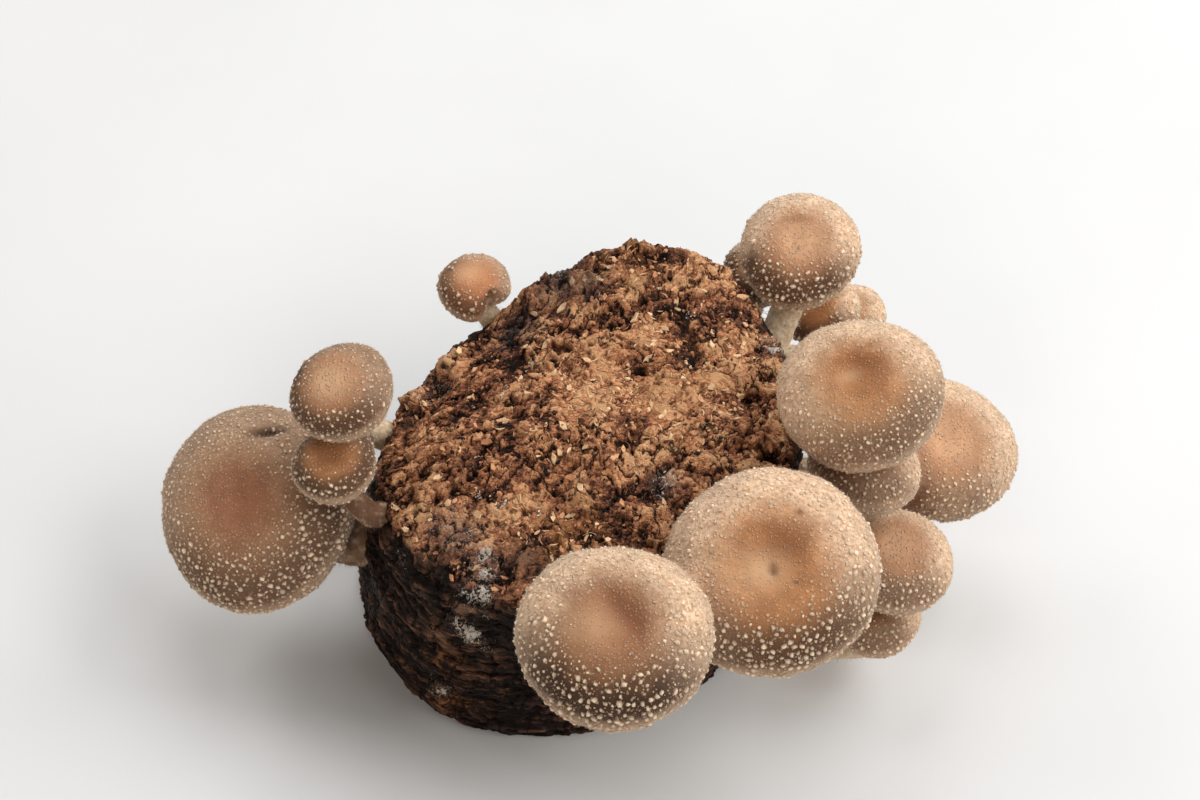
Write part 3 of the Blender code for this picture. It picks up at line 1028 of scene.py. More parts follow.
@dataclass
class SubstrateBlock:
    """The sawdust block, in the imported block's form, with a crumbly crust and loose bits."""

    rim_radius: tuple[float, ...] = (64, 66, 67, 62, 58, 57, 61, 66, 68, 65, 64, 64)
    base_radius: tuple[float, ...] = (62, 65, 66, 65, 62, 64, 69, 69, 68, 62, 57, 57)
    rim_height: tuple[float, ...] = (76, 81, 88, 81, 68, 63, 63, 69, 70, 70, 68, 71)
    crown_height: float = 80.0
    hump_at: Pair = (14.0, 50.0)
    hump_height: float = 4.5
    hump_spread: float = 15.0
    shoulder: float = 9.0
    wall_bulge: float = 1.5
    foot_chamfer: float = 2.0
    lump_height: float = 3.2
    lump_size: float = 15.0
    ridge_height: float = 2.2
    ridge_pitch: float = 11.0
    ridge_length: float = 34.0
    foot_fade: float = 8.0
    crumb_fade: float = 3.0
    patchy_size: float = 9.0
    torn_size: float = 1.6
    bits_seed: int = 3
    threads_seed: int = 5
    droop: float = 0.4
    side_cells: int = 200
    shoulder_rows: int = 12
    wall_rows: int = 108
    finish: SubstrateFinish = SubstrateFinish()

    def section_at(self, angle: Array, height: Array) -> Array:
        """Radius of the smooth wall.

        Args:
            angle: Angles in radians.
            height: Heights in millimetres.

        Returns:
            The radii in millimetres.
        """
        base = round_trip(self.base_radius, angle)
        rim = round_trip(self.rim_radius, angle)
        share = np.clip(height / (round_trip(self.rim_height, angle) - self.shoulder), 0.0, 1.0)
        return base + (rim - base) * share**1.5 + self.wall_bulge * np.sin(math.pi * share)

    def wall(self) -> tuple[Array, Array]:
        """Rows of points from the foot up to the shoulder.

        Returns:
            The points, one row of the array for each height, and the lean of the surface there.
        """
        count = self.side_cells * 2
        angle = turns(count)
        top = round_trip(self.rim_height, angle) - self.shoulder
        foot = self.section_at(angle, np.zeros(count)) - self.foot_chamfer
        rows = [around(foot, angle, 0.0)]
        for k in range(self.wall_rows):
            height = self.foot_chamfer + k / self.wall_rows * (top - self.foot_chamfer)
            rows.append(around(self.section_at(angle, height), angle, height))
        return np.array(rows), np.zeros((len(rows), count))

    def bend(self) -> tuple[Array, Array]:
        """Rows of points round the shoulder, with twice as many points as the wall's."""
        count = self.side_cells * 4
        angle = turns(count)
        rim = round_trip(self.rim_radius, angle)
        level = round_trip(self.rim_height, angle) - self.shoulder
        leans = [math.pi / 2 * k / self.shoulder_rows for k in range(self.shoulder_rows)]
        rows = [around(rim - self.shoulder * (1 - math.cos(lean)), angle,
                       level + self.shoulder * math.sin(lean)) for lean in leans]
        return np.array(rows), np.repeat(leans, count)

    def disc(self) -> tuple[Array, Array]:
        """Even grid of points over the top, inside the shoulder.

        Returns:
            The points, as a square array, and the numbers of its border points by rising angle.
        """
        side = np.linspace(-1, 1, self.side_cells + 1)
        u, v = np.meshgrid(side, side, indexing="ij")
        wide = np.abs(u) > np.abs(v)
        share = np.where(wide, np.abs(u), np.abs(v))
        safe_u = np.where(wide, u, 1.0)
        safe_v = np.where(~wide & (np.abs(v) > 0), v, 1.0)
        angle = np.where(wide, math.pi / 4 * v / safe_u + np.where(u < 0, math.pi, 0.0),
                         math.pi / 2 - math.pi / 4 * u / safe_v + np.where(v < 0, math.pi, 0.0))
        radius = (round_trip(self.rim_radius, angle) - self.shoulder) * share
        rim_height = round_trip(self.rim_height, angle)
        height = rim_height + (self.crown_height - rim_height) * (1 - share**1.6)
        points = around(radius, angle, height)
        border = np.flatnonzero(share.ravel() > 1 - 1e-9)
        order = np.argsort(np.round(angle.ravel()[border] % math.tau, 9), kind="stable")
        return points, border[order]

    def relief(self, points: Array, lean: Array) -> Array:
        """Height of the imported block's lumps and ridges.

        Args:
            points: Places on the smooth form.
            lean: Lean of the form there, from 0 on the wall to a right angle on top.

        Returns:
            The height at each point.
        """
        lump = lumps(points, self.lump_size) + 0.5 * lumps(points, self.lump_size / 2.1)
        squeezed = points / (self.ridge_length, self.ridge_length, self.ridge_pitch)
        ridge = lumps(squeezed, 1.0) + 0.4 * lumps(squeezed, 1 / 2.3)
        top_share = np.sin(lean)
        fade = np.minimum(1.0, points[:, 2] / self.foot_fade)
        away = np.hypot(points[:, 0] - self.hump_at[0], points[:, 1] - self.hump_at[1])
        hump = self.hump_height * np.exp(-((away / self.hump_spread) ** 2)) * top_share
        rough = self.lump_height * lump * top_share + self.ridge_height * ridge * (1 - top_share)
        return rough * fade + hump

    def smooth_form(self) -> Mesh:
        """The block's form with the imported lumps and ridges, as one closed fine mesh."""
        wall, wall_lean = self.wall()
        bend, bend_lean = self.bend()
        disc, border = self.disc()
        narrow, wide, side = self.side_cells * 2, self.side_cells * 4, self.side_cells + 1
        bend_start = wall.shape[0] * narrow
        disc_start = bend_start + bend.shape[0] * wide
        points = np.vstack([wall.reshape(-1, 3), bend.reshape(-1, 3), disc.reshape(-1, 3), [[0.0, 0.0, 0.0]]])
        lean = np.concatenate([wall_lean.ravel(), bend_lean.ravel(),
                               np.full(side * side, math.pi / 2), [0.0]])
        angle = np.arctan2(points[:, 1], points[:, 0])
        push = around(np.cos(lean), angle, np.sin(lean))
        push[-1] = (0.0, 0.0, -1.0)
        points = points + push * self.relief(points, lean)[:, None]
        faces = []
        for k in range(wall.shape[0] - 1):
            faces += band(k * narrow, (k + 1) * narrow, narrow)
        last = (wall.shape[0] - 1) * narrow
        for i in range(narrow):
            here, following = last + i, last + (i + 1) % narrow
            above = bend_start + 2 * i
            faces.append((here, above + 1, above))
            faces.append((here, following, above + 1))
            faces.append((following, bend_start + (2 * i + 2) % wide, above + 1))
        for k in range(bend.shape[0] - 1):
            faces += band(bend_start + k * wide, bend_start + (k + 1) * wide, wide)
        row = disc_start - wide
        ring = [disc_start + int(number) for number in border]
        faces.extend((row + i, row + (i + 1) % wide, ring[(i + 1) % wide], ring[i]) for i in range(wide))
        for k in range(side - 1):
            start = disc_start + k * side
            faces += band(start, start + side, side, flipped=True, closed=False)
        faces.extend(((i + 1) % narrow, i, len(points) - 1) for i in range(narrow))
        mesh = mesh_of("crust_form", points, faces)
        wander = lumps(points, 6.0) + 0.6 * lumps(points, 2.5)
        top = smooth(np.sin(lean) + 0.35 * wander, 0.30, 0.75)
        set_numbers(mesh, top=top, push=push, fade=np.clip(points[:, 2] / self.crumb_fade, 0.0, 1.0),
                    outward=around(1.0, angle, -self.droop * np.cos(lean)),
                    **self.patch_numbers(points))
        return mesh

    def patch_numbers(self, points: Array) -> dict[str, Array]:
        """Strength of each kind of patch at each point.

        Args:
            points: Places on the block.

        Returns:
            Numbers from 0 to 1 by kind.
        """
        result = {kind: np.zeros(len(points)) for kind in PATCHES}
        for kind, patches in PATCHES.items():
            for *place, size, strength in patches:
                away = np.linalg.norm(points - np.array(place), axis=1) / size
                result[kind] = np.maximum(result[kind], strength * np.exp(-away**2))
        return result

    def room_for_bits(self, mesh: Mesh) -> None:
        """Say on the crust's vertices where crumbs, shavings and threads may lie."""
        count = len(mesh.vertices)
        stored = {}
        for name in ("top", "shavings", "mycelium", "rust", "chip", "bit"):
            values = np.zeros(count, np.float32)
            mesh.attributes[name].data.foreach_get("value", values)
            stored[name] = values.astype(float)
        top, shavings, chips = stored["top"], stored["shavings"], stored["chip"]
        place = np.zeros(count * 3, np.float32)
        mesh.vertices.foreach_get("co", place)
        place = place.reshape(-1, 3) / MM
        patchy = smooth(lumps(place, self.patchy_size), -0.35, 0.3)
        torn = lumps(place, self.torn_size)
        above = smooth(place[:, 2], 6.0, 14.0)
        set_numbers(
            mesh,
            crumb_room=top * patchy * (1 - 0.6 * shavings)
            + 0.05 * (1 - top) * above,
            flake_room=top * np.clip(0.35 + shavings, 0, 1) * (0.3 + 0.7 * patchy),
            shaving_room=top * np.clip(shavings - 0.1, 0, 1),
            chip_room=top * np.clip(0.15 + 0.45 * patchy + chips, 0, 1),
            bit_room=np.clip(0.025 * top + stored["bit"] * smooth(torn, -0.2, 0.3) - 0.1, 0, 1),
            thread_room=np.clip(top * (0.2 + 0.6 * stored["rust"] + 0.4 * shavings), 0, 1)
            * above,
            web_room=np.clip(stored["mycelium"] * 1.3 - 0.12, 0, 1) * above,
            even=np.ones(count))

    def build(self, boxes: dict[Shape, ShapeBox]) -> None:
        """Make the crust and what lies on it.

        Args:
            boxes: The small shapes.
        """
        form = self.smooth_form()
        crust = grow(CrustTree(), form, {"Material": self.finish.crust(), "Crumb relief": 1.0,
                                         "Layer relief": 1.0})
        self.room_for_bits(crust)
        bits = ScatterTree("loose_bits", [
            Layer("Crumb", Shape.CRUMB, "crumb_room", 2.9, 0.8, 2.2, sink=0.2, lean=0.5, flat=0.7),
            Layer("Grit", Shape.CRUMB, "crumb_room", 1.6, 0.3, 0.9, lean=0.6, hue=0.08),
            Layer("Flake", Shape.FLAKE, "flake_room", 2.3, 1.0, 3.0, lean=0.28, thin=0.8, hue=0.10),
            Layer("Shaving", Shape.SPLINTER, "shaving_room", 1.3, 1.0, 3.0, lean=0.25, hue=0.16),
            Layer("Chip", Shape.FLAKE, "chip_room", 4.2, 1.7, 3.8, lean=0.3, thin=0.8, hue=0.42),
            Layer("White", Shape.FLAKE, "bit_room", 0.6, 0.3, 1.1, lean=1.1, hue=0.9),
        ], boxes)
        loose = grow(bits, crust, {"Material": self.finish.bits(), "Seed": self.bits_seed})
        piece("substrate_loose_bits", loose, "substrate")
        threads = ScatterTree("threads", [
            Layer("Golden", Shape.THREAD, "thread_room", 2.6, 1.5, 4.0, lean=0.3, flat=0.8),
            Layer("Web", Shape.THREAD, "web_room", 0.9, 0.9, 2.6, lean=0.3, flat=0.6, hue=0.5),
        ], boxes)
        web = grow(threads, crust, {"Material": self.finish.threads(), "Seed": self.threads_seed})
        piece("substrate_threads", web, "substrate")
        piece("substrate_crust", crust, "substrate", "substrate_block")


class CapTone(Enum):
    """Colours of a cap's skin at its centre, half way out and at its margin."""

    # The dark margin colours show mainly on the side away from the lamps, where no pale velvet covers them:
    # partly the real dark band, partly painted shade.
    TAN = ((0.32, 0.135, 0.057), (0.28, 0.134, 0.064), (0.055, 0.026, 0.013))
    ORANGE = ((0.37, 0.152, 0.054), (0.42, 0.188, 0.074), (0.115, 0.056, 0.027))
    GREY = ((0.35, 0.150, 0.076), (0.33, 0.176, 0.094), (0.155, 0.083, 0.046))
    FAWN = ((0.66, 0.375, 0.210), (0.41, 0.198, 0.098), (0.12, 0.057, 0.029))
    RUST = ((0.52, 0.210, 0.088), (0.40, 0.160, 0.068), (0.19, 0.078, 0.036))


@dataclass(frozen=True)
class CapFinish:
    """Skin of a cap: velvety brown, grained, with a pale downy margin, and painted light on the lamps' side.
    """

    tone: CapTone
    down: Colour = (0.83, 0.72, 0.58, 1.0)
    stain: Colour = (0.20, 0.062, 0.024, 1.0)
    bruise_and_shade: Colour = (0.045, 0.022, 0.014, 1.0)
    cream: Colour = (0.72, 0.47, 0.27, 1.0)
    # Pale velvet of the downy margin, laid on by the bloom number: real down with painted light on the lamps'
    # side.
    frost: Colour = (0.70, 0.43, 0.255, 1.0)
    rime: Colour = (0.92, 0.66, 0.45, 1.0)
    sheen: float = 0.6
    mottle_size: float = 6.0
    grain_size: float = 0.55
    felt_size: float = 1.3
    wrinkle_size: float = 1.6
    bump_sizes: Pair = (0.95, 1.35)

    def material(self) -> Material:
        """Material of the skin, which reads what Cap stores on its vertices."""
        centre, middle, margin = ((*colour, 1.0) for colour in self.tone.value)
        sheet = SurfaceSheet(f"cap_skin_{self.tone.name.lower()}")
        place = sheet.place("place")
        ring = sheet.number("ring")
        mottle = sheet.noise(place, self.mottle_size, detail=3.0)
        wandered = sheet.total((ring, 1.0), (mottle, 0.36), (-0.18, 1.0))
        colour = sheet.tint(sheet.span(wandered, 0.14, 0.55), centre, middle)
        colour = sheet.tint(sheet.span(wandered, 0.48, 0.82), colour, margin)
        grain = sheet.noise(place, self.grain_size, detail=3.0, rough=0.6)
        felt = sheet.noise(place, self.felt_size, detail=4.0, rough=0.7)
        frost = sheet.number("frost")
        velvet = sheet.tint(sheet.span(felt, 0.36, 0.64), self.frost, self.rime)
        swayed = sheet.sway(place, 0.9, 0.6)
        outer = sheet.span(ring, 0.2, 0.55)
        bumps = sheet.lerp(outer, *(self.bumps(sheet, swayed, size) for size in self.bump_sizes))
        bumps = sheet.times(bumps, sheet.number("speckle"))
        # Painted light: the pale velvet covers most where the bloom number is high, on the side that faces
        # the lamps.
        colour = sheet.tint(sheet.times(frost, sheet.span(felt, 0.25, 0.55, 0.72, 1.0)), colour, velvet)
        colour = sheet.tint(sheet.span(grain, 0.34, 0.72, 0.0, 0.45), colour,
                            sheet.tint(1.0, colour, (1.55, 1.50, 1.45, 1.0), "MULTIPLY"))
        colour = sheet.tint(sheet.span(mottle, 0.35, 0.65, 0.22, 0.0), colour, self.bruise_and_shade)
        # Dark marks take the darkest colour: pits and slits, and on some caps painted shadow of their
        # neighbours.
        for name, mark in (("red", self.stain), ("dark", self.bruise_and_shade), ("pale", self.cream)):
            colour = sheet.tint(sheet.number(name), colour, mark)
        # Painted highlight: the bumps are paled a little more on the lit side.
        raised = sheet.times(sheet.times(bumps, sheet.span(ring, 0.1, 0.7, 0.50, 0.75)),
                            sheet.span(frost, 0.0, 0.5, 0.75, 1.0))
        colour = sheet.tint(raised, colour, self.rime)
        # Painted sheen: the sheen weight follows the bloom number, so it is strongest on the lit side.
        sheen = sheet.span(frost, 0.1, 0.9, 0.03, self.sheen)
        wrinkle = sheet.noise(place, self.wrinkle_size, detail=3.0, rough=0.6)
        height = sheet.total((grain, 0.4), (wrinkle, 0.5), (bumps, 1.0), (felt, 0.35))
        return sheet.shade(colour, 0.72, 0.28, Sheen_Weight=sheen, Sheen_Roughness=0.5, Sheen_Tint=self.down,
                           Normal=sheet.bump(height, 0.45, 0.95))

    def bumps(self, sheet: SurfaceSheet, place: Socket, size: float) -> Socket:
        """Give small rounded bumps of uneven widths.

        Args:
            sheet: The material's sheet.
            place: Place in the cap's own frame, in millimetres.
            size: Distance from one bump to the next.

        Returns:
            The height, from 0 to 1.
        """
        cell = sheet.cells(place, size)
        reach = sheet.span(sheet.parts(cell.outputs["Color"])[0], 0.0, 1.0, 0.20, 0.52)
        share = sheet.math("DIVIDE", cell.outputs["Distance"], reach)
        return sheet.span(share, 0.2, 1.0, 1.0, 0.0)


@dataclass(frozen=True)
class ScaleFinish:
    """Raised scales and down of a cap: brown at the root, cream at the tip, with paler painted-light copies
    on the lamps' side.
    """

    root: Colour = (0.19, 0.105, 0.058, 1.0)
    # Paler copies of the root and tip colours for the lit side: painted light.
    lit_root: Colour = (0.66, 0.42, 0.26, 1.0)
    tip: Colour = (0.80, 0.63, 0.46, 1.0)
    grain: Colour = (0.60, 0.36, 0.21, 1.0)
    # Pale tone of the dots towards the margin.
    frost: Colour = (0.56, 0.39, 0.25, 1.0)
    down: Colour = (0.62, 0.50, 0.38, 1.0)
    glow: Colour = (0.94, 0.74, 0.54, 1.0)

    def material(self) -> Material:
        """Material of the scales, which reads their height share and tone."""
        sheet = SurfaceSheet("cap_scales")
        rise = sheet.number("rise")
        hue = sheet.number("hue")
        # Painted light: the paler copies take over where the bloom number, high on the lamps' side, is high.
        lit = sheet.number("frost")
        root = sheet.tint(lit, self.root, self.lit_root)
        tip = sheet.tint(lit, self.tip, self.glow)
        colour = sheet.tint(sheet.span(rise, 0.15, 0.75), root, tip)
        grain = sheet.tint(sheet.span(sheet.number("ring"), 0.45, 1.0), self.grain, self.frost)
        # Painted highlight: the dots turn to the glow colour on the lit side.
        grain = sheet.tint(sheet.times(lit, 0.9), grain, self.glow)
        colour = sheet.tint(sheet.span(hue, 0.0, 0.5), colour, grain)
        colour = sheet.tint(sheet.span(hue, 0.5, 1.0), colour, self.down)
        shade = sheet.span(sheet.number("tone"), 0.0, 1.0, 0.72, 1.08)
        colour = sheet.tint(1.0, colour, sheet.triple(shade, shade, shade), "MULTIPLY")
        return sheet.shade(colour, 0.8, 0.2, Subsurface_Weight=0.2, Subsurface_Radius=(1.0, 0.6, 0.35),
                           Subsurface_Scale=0.4 * MM)


@dataclass(frozen=True)
class FleshFinish:
    """Cream flesh of the stems and gills, browned in places, with painted shade on stems that sit in shadow.
    """

    cream: Colour = (0.74, 0.62, 0.46, 1.0)
    straw: Colour = (0.55, 0.38, 0.22, 1.0)
    brown: Colour = (0.13, 0.056, 0.028, 1.0)
    fluff: Colour = (0.84, 0.76, 0.62, 1.0)
    fibre_size: float = 1.2
    spot_size: float = 3.2
    cloud_size: float = 4.0

    def stem(self) -> Material:
        """Material of a stem, with long fibres and brown spots."""
        sheet = SurfaceSheet("stem_flesh")
        place = sheet.millimetres()
        fibre = sheet.noise(sheet.stretched(place, (1.0, 1.0, 0.5)), self.fibre_size, detail=4.0, rough=0.6)
        spots = sheet.noise(place, self.spot_size)
        colour = sheet.tint(sheet.span(fibre, 0.35, 0.7), self.straw, self.cream)
        colour = sheet.tint(sheet.span(spots, 0.60, 0.72, 0.0, 0.75), colour, self.brown)
        # Browning and painted shade: stems that sit in shadow are darkened brown by their own number.
        stain = sheet.times(sheet.number("stain"), sheet.span(spots, 0.35, 0.55, 0.6, 1.0))
        colour = sheet.tint(stain, colour, self.brown)
        return sheet.shade(colour, 0.78, 0.25, Normal=sheet.bump(fibre, 0.35, 0.8))

    def gills(self) -> Material:
        """Material of the gills."""
        sheet = SurfaceSheet("gill_flesh")
        place = sheet.millimetres()
        cloud = sheet.noise(place, self.cloud_size, detail=3.0)
        colour = sheet.tint(sheet.span(cloud, 0.3, 0.7, 0.0, 0.5), self.cream, self.straw)
        return sheet.shade(colour, 0.7, Normal=sheet.bump(cloud, 0.1, 0.5))

    def tufts(self) -> Material:
        """Material of the fibres on a stem."""
        sheet = SurfaceSheet("stem_tufts")
        colour = sheet.tint(sheet.number("tone"), self.straw, self.fluff)
        # The fibres darken with their stem: browning and painted shade.
        colour = sheet.tint(sheet.number("stain"), colour, self.brown)
        return sheet.shade(colour, 0.85)


@dataclass(frozen=True)
class Mark:
    """A place on a cap where the skin sinks, reddens, darkens, pales or is bare. Some dark marks are painted
    shadow cast by a neighbouring cap or the block.

    Places and sizes are in shares of the cap's radius, the turn is in degrees and
    the depth in millimetres. The rest are strengths from 0 to 1.
    """

    at: Pair
    size: Pair
    turn: float = 0.0
    depth: float = 0.0
    red: float = 0.0
    dark: float = 0.0
    pale: float = 0.0
    bare: float = 0.0

    def weight(self, x: Array, y: Array) -> Array:
        """Strength of the mark.

        Args:
            x: Places across the cap, in radii.
            y: Places up the cap, in radii.

        Returns:
            Numbers from 0 to 1.
        """
        turn = math.radians(self.turn)
        dx, dy = x - self.at[0], y - self.at[1]
        along = (dx * math.cos(turn) + dy * math.sin(turn)) / self.size[0]
        across = (dy * math.cos(turn) - dx * math.sin(turn)) / self.size[1]
        return np.exp(-(along**2 + across**2))


@dataclass(frozen=True)
class Detail:
    """How finely a cap, its gills and its stem are made: steps or counts of each."""

    dome: int
    lip: int
    points: int
    gills: int
    sides: int


LARGE = Detail(dome=46, lip=16, points=132, gills=96, sides=30)
SMALL = Detail(dome=30, lip=11, points=84, gills=64, sides=22)


@dataclass(frozen=True)
class Mushroom:
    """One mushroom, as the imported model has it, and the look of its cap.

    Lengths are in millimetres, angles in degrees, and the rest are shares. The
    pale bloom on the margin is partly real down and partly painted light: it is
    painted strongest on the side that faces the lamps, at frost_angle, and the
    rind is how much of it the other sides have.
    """

    name: str
    centre: Triple
    radius: float
    tilt: float
    facing: float
    root_angle: float
    root_height: float
    dip: float = 0.08
    dip_at: Pair = (0.0, 0.0)
    squash: float = 0.0
    squash_angle: float = 0.0
    notch: float = 0.0
    notch_angle: float = 0.0
    notch_width: float = 0.5
    rise: float = 0.51
    bend: float = 0.5
    tone: CapTone = CapTone.TAN
    marks: tuple[Mark, ...] = ()
    fleck_size: float = 1.0
    fleck_start: float = 0.34
    flecks: float = 1.0
    # Strength, direction and reach of the pale bloom: real down, painted paler on the side that faces the
    # lamps as painted light.
    frost: float = 0.92
    frost_angle: float = 55.0
    frost_reach: float = 0.0
    # How much the stem is darkened brown: real browning, and painted shade where the stem sits in shadow.
    stem_stain: float = 0.0
    rind: float = 0.0
    stem_share: float = 0.20
    stem_least: float = 0.8

    def axis(self) -> Vector:
        """Unit vector from the stem through the crown of the cap."""
        tilt, facing = math.radians(self.tilt), math.radians(self.facing)
        return Vector((math.cos(facing) * math.sin(tilt), math.sin(facing) * math.sin(tilt), math.cos(tilt)))

    def turn(self) -> Matrix:
        """The turn from the cap's own frame into the block's."""
        return Vector((0.0, 0.0, 1.0)).rotation_difference(self.axis()).to_matrix()

    def turned(self, vectors: Array) -> Array:
        """Turn directions from the cap's own frame into the block's."""
        return vectors @ np.array(self.turn()).T

    def placed(self, points: Array) -> Array:
        """Move points, in millimetres, from the cap's own frame into the block's."""
        return self.turned(points) + np.array(self.centre)

    def stem_radius(self) -> float:
        """Radius of the stem under the cap."""
        return self.stem_share * self.radius + self.stem_least

    def detail(self) -> Detail:
        """How finely the mushroom is made."""
        return LARGE if self.radius > BIG_CAP else SMALL


@dataclass
class Cap:
    """A cap's skin, its raised scales and down, and its gills."""

    mushroom: Mushroom
    finish: dict[CapTone, Material]
    scales: Material
    gills: Material
    fullness: float = 2.6
    crest: float = 0.62
    lip_width: float = 0.13
    lip_drop: float = 0.30
    lip_turn: float = 152.0
    dip_spread: float = 0.30
    outline_wave: float = 0.022
    lump_size: float = 11.0
    lump_height: float = 0.55
    pore_size: float = 3.2
    pore_height: float = 0.16
    crinkle_size: float = 3.6
    crinkle_height: float = 0.35
    margin_drop: float = 0.45
    wander_size: float = 5.0
    wander_reach: float = 1.6
    row_pitch: float = 2.7
    underside: tuple[Triple, ...] = (
        (0.735, -0.10, 1.6), (0.72, -0.065, 1.7), (0.70, CEILING, 1.8), (0.40, CEILING, 1.9))
    gill_gap: float = 0.1
    gill_depth: float = 0.085
    gill_thickness: float = 0.30
    gill_edge: Pair = (0.725, -0.09)
    short_gill: float = 0.45

    def profile(self) -> Array:
        """Section of the cap from its crown round the lip to the middle of its underside.

        Returns:
            Rows of radius share, height share and ring, which is 1 at the widest place and
            grows to 1.5 at the inner edge of the lip and 2 in the middle of the underside.
        """
        dome_steps, lip_steps = self.mushroom.detail().dome, self.mushroom.detail().lip
        rows = []
        for k in range(1, dome_steps + 1):
            share = math.sin(math.pi / 2 * k / dome_steps)
            rows.append((share, self.mushroom.rise * (1 - share**self.fullness) ** self.crest, share))
        for k in range(1, lip_steps + 1):
            swing = math.radians(self.lip_turn) * k / lip_steps
            radius = 1 - self.lip_width + self.lip_width * math.cos(swing)
            rows.append((radius, -self.lip_drop * math.sin(swing), 1 + 0.5 * k / lip_steps))
        return np.array([*rows, *self.underside])

    def shaped(self, radius_share: Array, height_share: Array, angle: Array) -> Array:
        """Points of the surface in the cap's own frame, with its dip, wave and notch.

        Args:
            radius_share: Distance from the axis, in radii.
            height_share: Height above the widest place, in radii.
            angle: Angle round the axis.

        Returns:
            The points in millimetres.
        """
        m = self.mushroom
        wave = np.sin(2 * angle + m.tilt) + 0.7 * np.sin(3 * angle + m.facing)
        squash = m.squash * np.cos(2 * (angle - math.radians(m.squash_angle)))
        turn = (angle - math.radians(m.notch_angle) + math.pi) % math.tau - math.pi
        bite = m.notch * np.exp(-((turn / m.notch_width) ** 2))
        fade = np.clip(radius_share * 2 - 0.6, 0.0, 1.0)
        reach = radius_share * (1 + (self.outline_wave * wave - squash - bite) * fade)
        x, y = reach * np.cos(angle), reach * np.sin(angle)
        away = np.hypot(x - m.dip_at[0], y - m.dip_at[1])
        sunk = np.where(height_share > 0, m.dip * np.exp(-((away / self.dip_spread) ** 2)), 0.0)
        return columns(x, y, height_share - sunk) * m.radius

    def skin(self) -> Mesh:
        """The skin as one closed mesh, with what its material and scales read from its vertices."""
        m = self.mushroom
        profile = self.profile()
        count = m.detail().points
        angle = turns(count)
        grid_angle = np.broadcast_to(angle, (len(profile), count))
        points = self.shaped(profile[:, 0:1] + 0 * grid_angle, profile[:, 1:2] + 0 * grid_angle, grid_angle)
        ring = np.broadcast_to(profile[:, 2:3], (len(profile), count))
        crown = self.shaped(np.zeros(1), np.full(1, m.rise), np.zeros(1))
        middle = np.array([[0.0, 0.0, CEILING * m.radius]])
        down = np.roll(points, -1, axis=0) - points
        down[-1] = down[-2]
        across = np.roll(points, -1, axis=1) - np.roll(points, 1, axis=1)
        normal = np.cross(down, across)
        normal /= np.linalg.norm(normal, axis=2, keepdims=True) + 1e-12
        flat = points.reshape(-1, 3)
        rough = self.unevenness(flat, ring.ravel())
        flat = flat + normal.reshape(-1, 3) * rough[:, None]
        crown[0, 2] += self.unevenness(crown, np.zeros(1))[0]
        local = np.vstack([flat, crown, middle])
        rings = np.concatenate([ring.ravel(), [0.0, 2.0]])
        faces = []
        for k in range(len(profile) - 1):
            faces += band(k * count, (k + 1) * count, count, flipped=True)
        last = (len(profile) - 1) * count
        faces.extend((len(local) - 2, i, (i + 1) % count) for i in range(count))
        faces.extend((last + (i + 1) % count, last + i, len(local) - 1) for i in range(count))
        mesh = mesh_of(f"cap_{m.name}", m.placed(local), faces)
        self.store_looks(mesh, local, rings)
        return mesh

    def unevenness(self, points: Array, ring: Array) -> Array:
        """Height of the skin's lumps, folds and marks above the plain form.

        Args:
            points: Places in the cap's own frame.
            ring: How far out each place is.

        Returns:
            Heights in millimetres.
        """
        m = self.mushroom
        scale = m.radius / USUAL_CAP
        seed = m.facing * 0.37 + m.radius
        height = (self.lump_height * scale * lumps(points, self.lump_size * scale, seed)
                  + self.pore_height * lumps(points, self.pore_size, seed))
        height *= 0.35 + 0.65 * smooth(ring, 0.2, 0.8)
        crinkle = lumps(points * (1.0, 1.0, 0.45), self.crinkle_size * scale, seed + 5)
        height += self.crinkle_height * scale * crinkle * np.exp(-(((ring - 1.15) / 0.22) ** 2))
        height -= self.margin_drop * smooth(ring, 0.5, 0.95)
        height *= 1 - smooth(ring, 1.45, 1.6)
        above = (ring < 1.0).astype(float)
        for mark in m.marks:
            height -= above * mark.depth * mark.weight(points[:, 0] / m.radius, points[:, 1] / m.radius)
        return height

    def store_looks(self, mesh: Mesh, local: Array, ring: Array) -> None:
        """Store tones, and room and size of scales, on the skin's vertices.

        Args:
            mesh: The skin.
            local: Its vertices in the cap's own frame.
            ring: How far out each vertex is.
        """
        m = self.mushroom
        x, y = local[:, 0] / m.radius, local[:, 1] / m.radius
        above = (ring < 1.02).astype(float)
        tones = {}
        for name in ("red", "dark", "pale", "bare"):
            clear = np.ones(len(local))
            for mark in m.marks:
                clear *= 1 - getattr(mark, name) * above * mark.weight(x, y)
            tones[name] = 1 - clear
        seed = m.facing * 0.21 + m.radius
        wander = lumps(local, self.wander_size, seed)
        travelled = ring * m.radius + self.wander_reach * wander
        rows = smooth(np.sin(travelled * math.tau / self.row_pitch), -0.45, 0.45)
        open_skin = 1 - tones["bare"]
